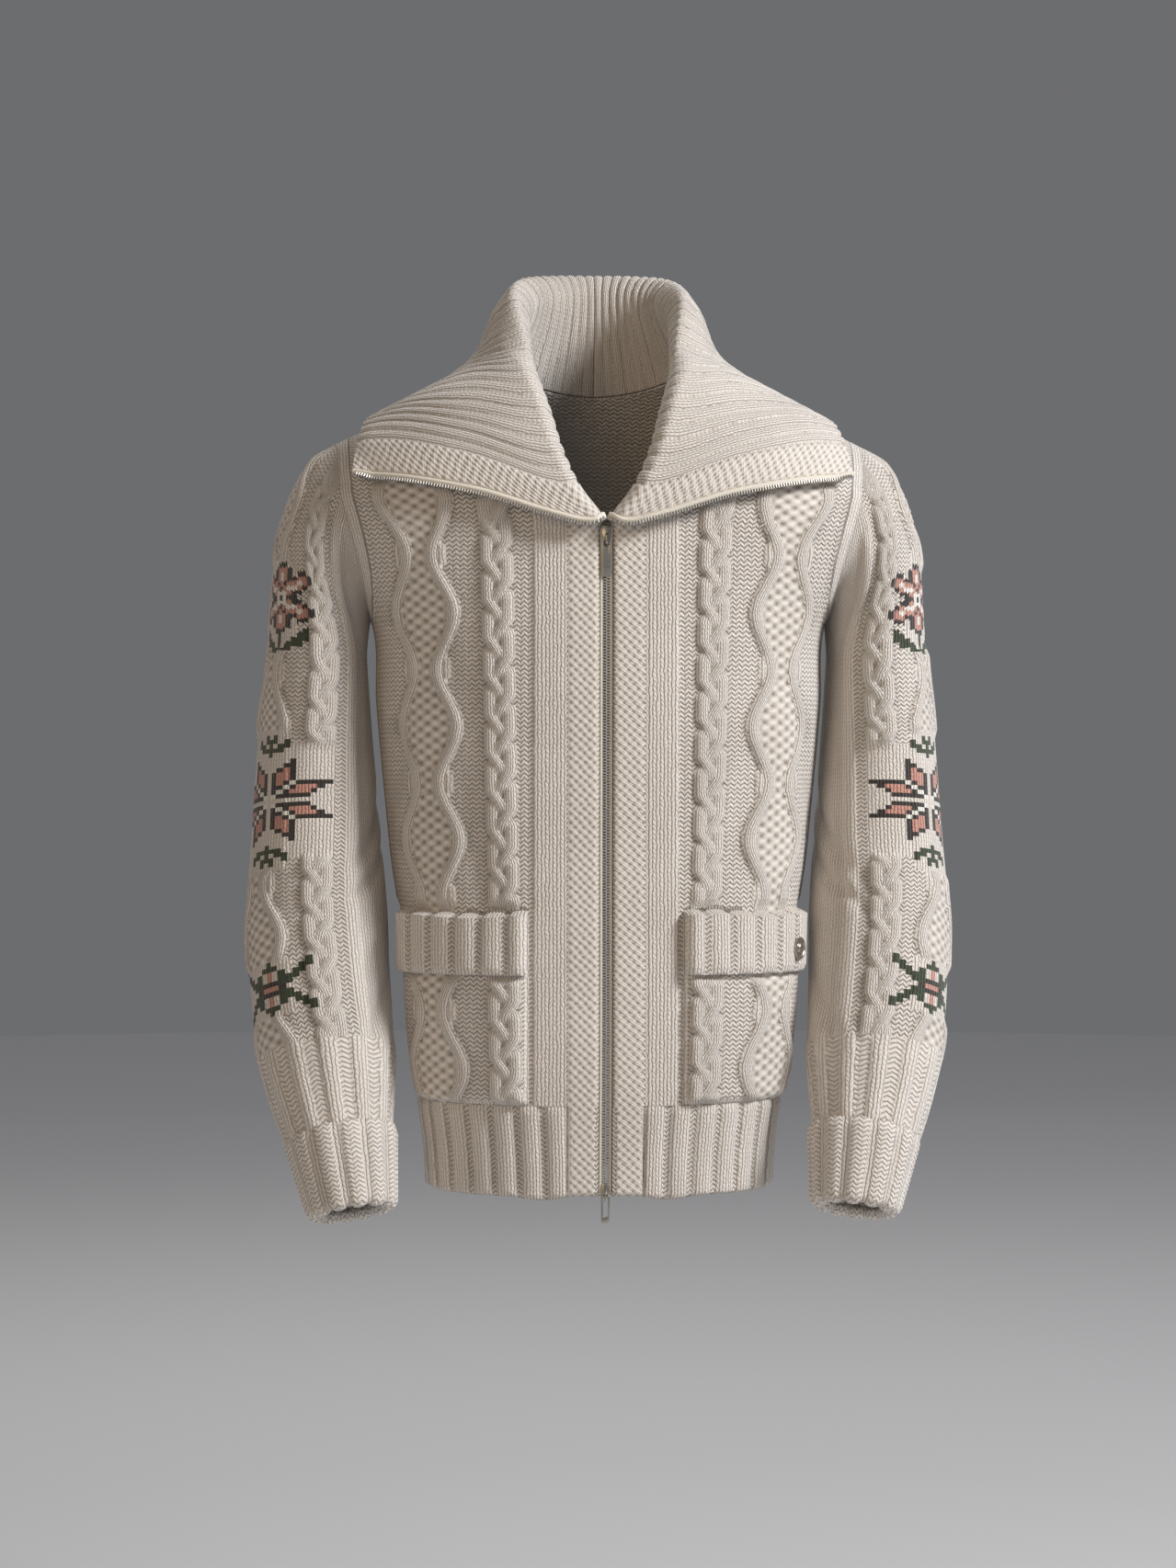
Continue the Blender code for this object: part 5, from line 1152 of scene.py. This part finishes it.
def make_welt(half):
    """The pocket's ribbed mouth, rolled over at the top and turned down."""
    inner, outer = POCKET[0] + 0.001, POCKET[1] - 0.001
    centre = FOLD_TOP - FOLD_RADIUS
    down = list(np.arange(WELT_LOW, centre, COURSE / 2))
    turns = np.linspace(0, math.pi, 13)
    rows = down + [centre] * len(turns)
    turn = np.concatenate([np.zeros(len(down)), turns])[:, None]
    places = inner + (outer - inner) * np.linspace(0, 1, 12 * WELT_RIBS + 1)
    x = np.tile(places, (len(rows), 1))
    surface, outward = lifted(half, rows, lambda z: places, np.zeros(x.shape))
    border = np.minimum(x - inner, outer - x)
    pressed = 0.0045 * (1 - plateau(border, 0.003, 1, 0.008)) * (0.5 + 0.5 * np.cos(turn))
    wave = np.sin((places - inner) / (outer - inner) * 2 * math.pi + (0.8 if half > 0 else 2.4))
    sag = 0.0016 * wave * np.clip((np.array(rows)[:, None] - WELT_LOW) / 0.05, 0, 1)
    upward = np.array([0, 0, 1.0])
    base = surface + outward * (FOLD_STAND + FOLD_RADIUS * np.cos(turn) - pressed)[..., None]
    base += upward * (FOLD_RADIUS * np.sin(turn) + sag)[..., None]
    normals = unit(outward * np.cos(turn)[..., None] + upward * np.sin(turn)[..., None])
    pitch = (outer - inner) / WELT_RIBS
    phase = (x - inner) / pitch
    low = np.clip(1 - np.arange(len(rows)) / 3, 0, 1)[:, None]
    rise = rib_rise(phase + 0.1, RIB_SHARE, 0.0026) * (1 - 0.6 * low) - 0.0012 * low
    zone = np.where((middles(phase + 0.1) % 1) < RIB_SHARE, 1, 0)
    across = np.array([(phase + 0.1 - RIB_SHARE) / (1 - RIB_SHARE), (phase + 0.1) / RIB_SHARE * 3])
    name = "pocket_welt_" + SIDES[half]
    made = knitted("knit_" + name, base, rise, across, arc_rows(base) / COURSE, zone,
                   np.array([PURL, STOCKING])[zone], normals, flip=half < 0, thickness=WALL - 0.1 * pressed)
    return dress(made, [name])


# ---- sleeves -----------------------------------------------------------------------------------------------
# Folk motifs, one letter to a stitch: k charcoal, g green, p pink, w white, dot for the ground
PETALS = (
    ".....kkk.....",
    "....kpppk....",
    ".kk.kpwpk.kk.",
    "kppkkpwpkkppk",
    "kpwppkpkppwpk",
    ".kpwwpkpwwpk.",
    "..kkpwwwpkk..",
    "...kkwkwkk...",
)
FLOWER = PETALS + PETALS[-2:0:-1] + (
    ".g...kkk...g.",
    ".gg...g...gg.",
    ".ggg..g..ggg.",
    "..ggg.g.ggg..",
    "....ggggg....",
)
LEAF_ROWS = (
    "g.....g.....g",
    "gg...ggg...gg",
    ".gg.g.p.g.gg.",
    "..ggg.p.ggg..",
    "...ggkkkgg...",
    "....kpppk....",
)
LEAVES = LEAF_ROWS + LEAF_ROWS[-2::-1]


def star_chart(reach):
    """The eight-pointed star: eight leaning petals, pink with a charcoal outline, and white between them."""
    petal = (reach - 1) // 2
    rows = []
    for y in range(-reach, reach + 1):
        row = ""
        for x in range(-reach, reach + 1):
            low, high = sorted((abs(x), abs(y)))
            inside = 1 <= low <= petal and low + 1 <= high <= low + petal + 1
            edge = low in (1, petal) or high in (low + 1, low + petal + 1)
            if inside:
                row += "k" if edge else "p"
            else:
                row += "w" if low == high and 0 < high <= petal else "."
        rows.append(row)
    return tuple(rows)


STAR = star_chart(9)
SPRIG = ("..g.g..", "g.ggg.g", "gg.g.gg", ".ggggg.", "...g...")
# Each motif: the height of its middle, stitches from the sleeve's outer line, and its chart
MOTIFS = (
    (-0.195, 2, FLOWER),
    (-0.373, 2, STAR),
    (-0.321, 2, SPRIG),
    (-0.424, 2, SPRIG[::-1]),
    (-0.541, 2, LEAVES),
)


def paint_motifs(finish, x, z):
    """Gives the faces under a chart's stitches their yarn."""
    for height, aside, chart in MOTIFS:
        col = np.floor(x / WALE - aside + len(chart[0]) / 2).astype(int)
        row = np.floor((height - z) / COURSE + len(chart) / 2).astype(int)
        found = (col >= 0) & (col < len(chart[0])) & (row >= 0) & (row < len(chart))
        for r, c in np.argwhere(found):
            letter = chart[row[r, c]][col[r, c]]
            if letter in YARNS:
                finish[r, c] = YARNS[letter]
    return finish


def in_field(z):
    """1 inside a flat field of the diamond column, 0 outside."""
    found = np.zeros(np.shape(z))
    for middle, half in FIELDS:
        found = np.maximum(found, plateau(z, middle - half, middle + half, 0.012))
    return found


SLEEVE_RIB_SHARE = 0.56     # the raised share of the ribs above the cuff


def make_sleeve(half):
    """A sleeve: diamonds down its outer line, broken by flat fields with the motifs, between two cables."""
    at, middle = arm_frames()[:2]
    end = at[-1]
    cuff_start = end - CUFF_HEIGHT
    rib_start = cuff_start - SLEEVE_RIB
    shares = np.linspace(0, 1, 85)[:-1]
    turn_shares = (0.0, 0.03, 0.08, 0.15, 0.23, 0.32, 0.41, 0.50, 0.59)
    lowest = float(np.interp(rib_start, at, middle[:, 2]))
    steps = np.arange(math.floor(middle[0, 2] / COURSE), lowest / COURSE, -0.5) - 0.25
    downs = [float(np.interp(-z * COURSE, -middle[:, 2], at)) for z in steps
             if lowest + 0.001 < z * COURSE < middle[0, 2] - 0.001]
    ribs = list(np.linspace(rib_start, cuff_start - 0.001, 37))
    ends = [cuff_start + 0.007, (cuff_start + end) / 2, end - 0.006]
    rings = [cap_ring(share) for share in shares] + [sleeve_ring(d) for d in downs]
    rings += [sleeve_ring(d, 0.0030 * k / 36) for k, d in enumerate(ribs)]
    rings += [sleeve_ring(d, CUFF_INSET) for d in ends]
    turns = [SLEEVE_TURN * float(np.interp(share, turn_shares, np.linspace(0, 1, 9))) for share in shares]
    turns += [SLEEVE_TURN] * (len(rings) - len(turns))
    base, x = [], []
    for ring, turn in zip(rings, turns):
        whole = ring_length(ring)
        side = stretches([0, DIAMOND_REACH, SLEEVE_CABLE - CABLE_REACH, SLEEVE_CABLE + CABLE_REACH,
                          SLEEVE_EDGE[0], SLEEVE_EDGE[1], whole / 2], (18, 6, 16, 4, 6, 14))
        across = np.concatenate([-side[:0:-1], side])
        base.append(around(ring, across, turn))
        x.append(across)
    base, x = np.array(base), np.array(x)
    base[:, -1] = base[:, 0]
    caps = len(shares)
    z = np.tile(base[:, x.shape[1] // 2, 2][:, None], (1, x.shape[1]))
    z[caps:] = np.array([float(np.interp(d, at, middle[:, 2])) for d in (downs + ribs + ends)])[:, None]
    lengths = arc_rows(base[:caps + 1])
    z[:caps] = z[caps:caps + 1] + (lengths[-1:] - lengths[:-1])
    normals = ring_normals(base)
    depth = sleeve_fold_depth(x, z) * np.clip((middle[0, 2] - z) / 0.03, 0, 1)
    base = base - normals * depth[..., None]
    base[:, -1] = base[:, 0]
    field = in_field(z)
    broad = plateau(z, FIELDS[1][0] - FIELDS[1][1] + 0.012, FIELDS[1][0] + FIELDS[1][1] - 0.012, 0.012)
    cable_x = np.abs(x) - SLEEVE_CABLE
    across, up = column_stitches(x, z, cable_x, 0.0, x, 0.0)
    ribbed = np.arange(len(rings))[:, None] >= caps + len(downs)
    rise = cable_rise(cable_x, z, 0.0) * (1 - broad)
    near_diamond = plateau(np.abs(x), -1, DIAMOND_REACH - 0.0004, 0.0008)
    rise += diamond_rise(x, z) * (1 - field) + near_diamond * SEED_RISE * field
    rise += EDGE_RISE * plateau(np.abs(x), SLEEVE_EDGE[0], SLEEVE_EDGE[1], 0.0012)
    rise *= np.clip(np.arange(len(rings)) / 10, 0, 1)[:, None]
    whole = np.array([ring_length(ring) for ring in rings])[:, None]
    phase = x / whole * CUFF_RIBS + 0.31
    into = np.clip((np.arange(len(rings)) - caps - len(downs) + 8) / 14, 0, 1)[:, None]
    into = into * into * (3 - 2 * into)
    rise = rise * (1 - into) + into * rib_rise(phase, SLEEVE_RIB_SHARE, 0.0026)
    rise[-3:] = 0.0
    xc, zc = middles(x), middles(z)
    plain = (np.abs(xc) > SLEEVE_EDGE[0]) | ((middles(field) > 0.5) & (np.abs(xc) < DIAMOND_REACH))
    plain |= (middles(broad) > 0.5) & (np.abs(xc) < SLEEVE_CABLE + CABLE_REACH)
    zone = np.where(plain, 2, column_zones(xc, zc, middles(cable_x), 0.0, xc, plain))
    zone = np.where((np.abs(xc) > SLEEVE_EDGE[0]) & (np.abs(xc) < SLEEVE_EDGE[1]), 12, zone)
    rib_zone = np.where((middles(phase) % 1) < SLEEVE_RIB_SHARE, 11, 10)
    zone = np.where(ribbed[:-1], rib_zone, zone)
    extra = [(phase - SLEEVE_RIB_SHARE) / (1 - SLEEVE_RIB_SHARE), phase / SLEEVE_RIB_SHARE * 2,
             (np.abs(x) - SLEEVE_EDGE[0]) / 0.0065]
    across = np.concatenate([across, extra])
    up = np.concatenate([up, up[[0, 0, 0]]])
    finish = paint_motifs(ZONE_FINISH[zone], xc, zc)
    base, normals, flip = on_side(half, base, normals)
    away = ARMHOLE_GAP * np.clip(np.arange(len(rings)) / 8, 0.08, 1)
    base = base + half * away[:, None, None] * np.array([1.0, 0, 0])
    name = "sleeve_" + SIDES[half]
    made = knitted("knit_" + name, base, rise, across, up, zone, finish, normals, closed=True, flip=flip)
    return dress(made, [name])


CUFF_SHARE = 0.70           # the raised share of the cuffs' ribs, whose reverse shows


def make_cuff(half):
    """The turned-back cuff: wide ribs outside, rolled under at the wrist and up inside the sleeve's end."""
    end = arm_frames()[0][-1]
    radius = (CUFF_INSET + WALL - 0.0004) / 2
    turns = np.linspace(0, math.pi, 8)
    spots = [(d, 0.0) for d in np.linspace(end - CUFF_HEIGHT - 0.001, end - radius, 32)[:-1]]
    spots += [(end - radius + radius * math.sin(t), radius * (1 - math.cos(t))) for t in turns]
    spots += [(end - radius - 0.004, 2 * radius)]
    shares = np.linspace(0, 1, 12 * CUFF_RIBS + 1)
    rings = [sleeve_ring(min(distance, end), inset) for distance, inset in spots]
    base = np.array([around(ring, shares * ring_length(ring), 0.0) for ring in rings])
    base[:, -1] = base[:, 0]
    normals = ring_normals(base)
    phase = np.tile(shares * CUFF_RIBS, (len(spots), 1))
    top = np.clip(1 - np.arange(len(spots)) / 3, 0, 1)[:, None]
    rise = 0.0004 + rib_rise(phase, CUFF_SHARE, 0.0024) * (1 - 0.5 * top) - 0.0012 * top
    rise[-1] = -0.001
    base, normals, flip = on_side(half, base, normals)
    zone = np.where((middles(phase) % 1) < CUFF_SHARE, 0, 1)
    across = np.array([phase / CUFF_SHARE * 2, (phase - CUFF_SHARE) / (1 - CUFF_SHARE)])
    name = "cuff_" + SIDES[half]
    made = knitted("knit_" + name, base, rise, across, -arc_rows(base) / COURSE, zone,
                   np.array([RIBBED, STOCKING])[zone], normals, closed=True, flip=flip)
    return dress(made, [name])


# ---- collar ------------------------------------------------------------------------------------------------
RIBS = 31               # ribs on each half of the collar
COLLAR_SHARE = 0.86     # raised share of a collar rib


def make_collar():
    """The tall rib collar, folded open, with a moss band along each zip edge."""
    spots = stretches([0, 1, 3, 5], (14, 12, 34))
    half = stretches([0, COLLAR_MOSS], (14,))
    pitch = (1 - COLLAR_MOSS) / RIBS
    half = np.concatenate([half, COLLAR_MOSS + pitch * np.arange(1, 8 * RIBS + 1) / 8])
    places = np.concatenate([half, 2 - half[-2::-1]])
    base = np.array([collar_section(place, spots) for place in places]).transpose(1, 0, 2)
    base[0] -= unit(base[1] - base[0]) * (NECK_GAP - 0.0004)
    normals = grid_normals(base)
    flip = bool(normals[-2, base.shape[1] // 2, 1] < 0)
    if flip:
        normals = -normals
    away = np.minimum(places, 2 - places)
    x = np.tile(away, (len(spots), 1))
    z = arc_rows(base)
    phase = (x - COLLAR_MOSS) / pitch
    moss = plateau(x, 0.004, COLLAR_MOSS - 0.003, 0.004)
    stitches = x / COLLAR_MOSS * 7
    rise = np.where(x < COLLAR_MOSS, moss * 0.0009, rib_rise(phase - 0.1, COLLAR_SHARE, 0.0019) - 0.0010)
    rise[:, [0, -1]] = 0.0
    rise[-1] -= 0.001
    zone = np.where(middles(x) < COLLAR_MOSS, 2, np.where(((middles(phase) - 0.1) % 1) < COLLAR_SHARE, 1, 0))
    across = np.array([phase * 2, (phase - 0.1) / COLLAR_SHARE * 2, stitches])
    up = np.array([z / COURSE, z / COURSE, z / MOSS[1]])
    made = knitted("knit_collar", base, rise, across, up, zone, np.array([STOCKING, STOCKING, MOSSY])[zone],
                   normals, flip=flip)
    return dress(made, ["collar"])


# ---- zip ---------------------------------------------------------------------------------------------------
def zip_frames(half):
    """Evenly spaced frames along one zip edge: point, way off the edge, way to the cloth's inner face, and
    the tape's reach onto the cloth."""
    rows = zip_path()
    point, out, face = (np.array([row[k] for row in rows]) for k in range(3))
    reach = np.array([row[3] for row in rows])
    arc = arc_of(point)
    even = np.arange(0, arc[-1], TOOTH_PITCH)
    point, out, face = (read_at(even, arc, part) for part in (point, out, face))
    out, face = unit(out), unit(face)
    turn = np.array([half, 1.0, 1.0])
    return even, point * turn, out * turn, face * turn, np.interp(even, arc, reach)


TOOTH_PITCH = 0.0025    # from one tooth to the next, half as much between the two rows
TOOTH_SIZE = (0.0040, 0.0014, 0.0030)           # off the edge, along the zip, through the cloth
TOOTH_PLACE = (0.0049, 0.0013)                  # its middle: off the cloth's edge, and proud of the face
TOOTH_ROUND = 0.00046
TAPE_THICK = 0.0008
# The tape's section: distance from the cloth's edge (a share of the reach while negative), and how far back
TAPE_SECTION = ((-1.0, 0.0011), (-0.5, 0.0011), (-0.05, 0.0011), (0.0004, -0.0004), (0.0010, -0.0020),
                (0.0018, -0.0027), (0.0026, -0.0024), (0.0032, -0.0016), (0.0038, -0.0009))


def make_tape(half):
    """One woven tape of the zip: it lies behind the cloth, wells up beside its edge and ends in a cord."""
    even, point, out, face, reach = zip_frames(half)
    x = np.stack([-a * reach if a < 0 else np.full(reach.shape, a) for a, _ in TAPE_SECTION], axis=-1)
    back = np.array([b for _, b in TAPE_SECTION])
    base = point[:, None] + out[:, None] * x[..., None] + face[:, None] * back[:, None]
    base[:, :, 0] = half * np.maximum(half * base[:, :, 0], 0.00015)
    zone = np.zeros((x.shape[0] - 1, x.shape[1] - 1), int)
    natural = np.sum(grid_normals(base) * -face[:, None]) > 0
    normals = grid_normals(base) * (1 if natural else -1)
    return knitted("tape_" + SIDES[half], base, np.zeros(x.shape), np.array([x / TWILL]),
                   np.tile(even[:, None] / TWILL, (1, x.shape[1])), zone, zone, normals, flip=not natural,
                   thickness=TAPE_THICK, finishes=(RIBBON,), inside=0)


def make_teeth(half):
    """The row of metal teeth on one tape: small rounded lugs, set half a pitch off the other tape's."""
    even, point, out, face, _ = zip_frames(half)
    mesh = bmesh.new()
    shift = 0.5 if half > 0 else 0.0
    for k in range(int(even[-1] / TOOTH_PITCH) - 1):
        s = (k + 0.25 + shift) * TOOTH_PITCH
        spot, o, f = (read_at(s, even, part) for part in (point, out, face))
        o, f = o / np.linalg.norm(o), f / np.linalg.norm(f)
        a = np.cross(o, f)
        centre = spot + o * TOOTH_PLACE[0] - f * TOOTH_PLACE[1]
        turn = Matrix((o, a, f)).transposed().to_4x4()
        size = Matrix.Diagonal((*TOOTH_SIZE, 1.0))
        bmesh.ops.create_cube(mesh, size=1.0, matrix=Matrix.Translation(centre) @ turn @ size)
    bmesh.ops.bevel(mesh, geom=mesh.edges[:], offset=TOOTH_ROUND, segments=1, affect="EDGES", profile=0.5,
                    material=-1)
    bmesh.ops.recalc_face_normals(mesh, faces=mesh.faces)
    return finished("teeth_" + SIDES[half], mesh, TEETH)


def finished(name, mesh, look, angle=35):
    data = bpy.data.meshes.new(name)
    mesh.to_mesh(data)
    mesh.free()
    data.shade_smooth()
    data.set_sharp_from_angle(angle=math.radians(angle))
    data.materials.append(look)
    return in_scene(name, data)


def softened(node, name, width, body):
    """A metal piece in its CAD shape, with its edges rounded over."""
    mesh = bmesh.new()
    mesh.from_mesh(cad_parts[node].data)
    mesh.transform(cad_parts[node].matrix_world)
    bmesh.ops.remove_doubles(mesh, verts=mesh.verts, dist=1e-6)
    bmesh.ops.dissolve_limit(mesh, angle_limit=math.radians(2), verts=mesh.verts, edges=mesh.edges)
    sharp = [edge for edge in mesh.edges
             if len(edge.link_faces) == 2 and edge.calc_face_angle() > math.radians(50)]
    bmesh.ops.bevel(mesh, geom=sharp, offset=width, segments=2, affect="EDGES", profile=0.5, material=-1)
    made = finished(name, mesh, NICKEL)
    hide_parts(node)
    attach(made, body)
    return made


SNAP_COLUMNS = ("share_of_radius", "height")
SNAP_PROFILE = ((0.0, 0.0), (0.97, 0.0), (1.0, 0.0004), (1.0, 0.0012), (0.96, 0.0018), (0.90, 0.0020),
                (0.82, 0.0019), (0.77, 0.0013), (0.72, 0.0010), (0.54, 0.0010), (0.50, 0.0014),
                (0.47, 0.0022), (0.40, 0.0027), (0.20, 0.0030), (0.0, 0.0031))


def make_snap():
    """The plain round snap: a domed cap in a ring, pressed into the welt."""
    point = torso_point(np.array([SNAP_PLACE[0]]), SNAP_PLACE[1], "front")[0]
    beside = torso_point(np.array([SNAP_PLACE[0] + 0.002]), SNAP_PLACE[1], "front")[0]
    across = unit(beside - point)
    normal = np.array([across[1], -across[0], 0.0])
    normal *= np.sign(-normal[1])
    stand = 2 * WALL + 2 * POCKET_STAND + HEM_RIB[3] * 0.8 + 0.0003
    mesh = bmesh.new()
    ring = [mesh.verts.new((share * SNAP_RADIUS, 0, height)) for share, height in SNAP_PROFILE]
    edges = [mesh.edges.new(pair) for pair in zip(ring, ring[1:])]
    bmesh.ops.spin(mesh, geom=ring + edges, cent=(0, 0, 0), axis=(0, 0, 1), angle=2 * math.pi, steps=56,
                   use_merge=True, use_duplicate=False)
    bmesh.ops.remove_doubles(mesh, verts=mesh.verts, dist=1e-6)
    bmesh.ops.recalc_face_normals(mesh, faces=mesh.faces)
    turn = Vector((0, 0, 1)).rotation_difference(Vector(normal)).to_matrix().to_4x4()
    mesh.transform(Matrix.Translation(point + normal * stand) @ turn)
    made = finished("snap_cap", mesh, NICKEL)
    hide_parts("pocket_snap")
    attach(made, "garment")
    return made


# ---- studio ------------------------------------------------------------------------------------------------
LIGHT_COLUMNS = ("name", "place", "size", "power", "tint")
LIGHTS = (
    ("key", (2.6, -1.6, 1.5), 1.1, 132, "#ffffff"),
    ("fill", (-1.5, -3.1, 0.7), 2.0, 20, "#ffd9a4"),
    ("rim", (-0.4, 2.2, 2.2), 1.6, 40, "#ffffff"),
)
FLOOR_HEIGHT = -1.30
FLOOR_REACH = 9.0
LIGHTS_AIM = Vector((0, 0, -0.33))
CAMERA_AIM = Vector((-0.0095, 0, -0.351))
CAMERA_DISTANCE = 2.75
CAMERA_TURN = math.radians(3.0)
FRAME_HEIGHT = 1.416    # what the picture takes in at the camera's aim


def face(thing, place, aim):
    thing.location = place
    thing.rotation_euler = (aim - Vector(place)).to_track_quat("-Z", "Y").to_euler()


def studio():
    """A plain pale floor, a soft key light from the upper right, and the camera level with the garment."""
    mesh = bmesh.new()
    bmesh.ops.create_circle(mesh, cap_ends=True, segments=96, radius=FLOOR_REACH,
                            matrix=Matrix.Translation((0, 0, FLOOR_HEIGHT)))
    made, tree = empty_material("pale painted floor")
    away = add(tree, "VectorMath LENGTH", add(tree, "TexCoord").outputs["Object"]).outputs["Value"]
    far = add(tree, "MapRange", away, 2.0, 6.0)
    tint = add(tree, "Mix", data_type="RGBA", Factor=far, i6=linear("#cfcfd0"),
               i7=linear("#fafafb")).outputs[2]
    add(tree, "OutputMaterial", add(tree, "BsdfPrincipled", Base_Color=tint, Roughness=0.85))
    finished("floor", mesh, made)
    world = bpy.data.worlds.new("studio")
    bpy.context.scene.world = world
    world.use_nodes = True
    world.node_tree.nodes["Background"].inputs[0].default_value = linear("#c5c6ca")
    world.node_tree.nodes["Background"].inputs[1].default_value = 0.27
    for name, place, size, power, tint in LIGHTS:
        light = bpy.data.lights.new(name, "AREA")
        light.shape = "DISK"
        light.size = size
        light.energy = power
        light.color = linear(tint)[:3]
        face(in_scene(name, light), place, LIGHTS_AIM)
    camera = bpy.data.cameras.new("camera")
    camera.lens = camera.sensor_width * CAMERA_DISTANCE / FRAME_HEIGHT
    made = in_scene("camera", camera)
    away = Vector((-math.sin(CAMERA_TURN), -math.cos(CAMERA_TURN), 0))
    face(made, CAMERA_AIM + CAMERA_DISTANCE * away, CAMERA_AIM)
    bpy.context.scene.camera = made
    bpy.context.scene.view_settings.view_transform = "Standard"


def main():
    for half in (1, -1):
        make_front(half)
        make_pocket(half)
        make_welt(half)
        make_sleeve(half)
        make_cuff(half)
        side = SIDES[half]
        make_hem("hem_" + side, "front", half)
        teeth = make_teeth(half)
        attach(teeth, "garment")
        dress(make_tape(half), ["zip_" + side])
    make_back()
    make_hem("hem_back", "back", 1)
    make_collar()
    for end in ("upper", "lower"):
        softened("zip_slider_" + end, "slider_" + end, 0.0003, "garment")
    for end in ("upper", "lower"):
        softened("zip_pull_" + end, "pull_tab_" + end, 0.00025, "pull_" + end)
    make_snap()
    studio()


main()
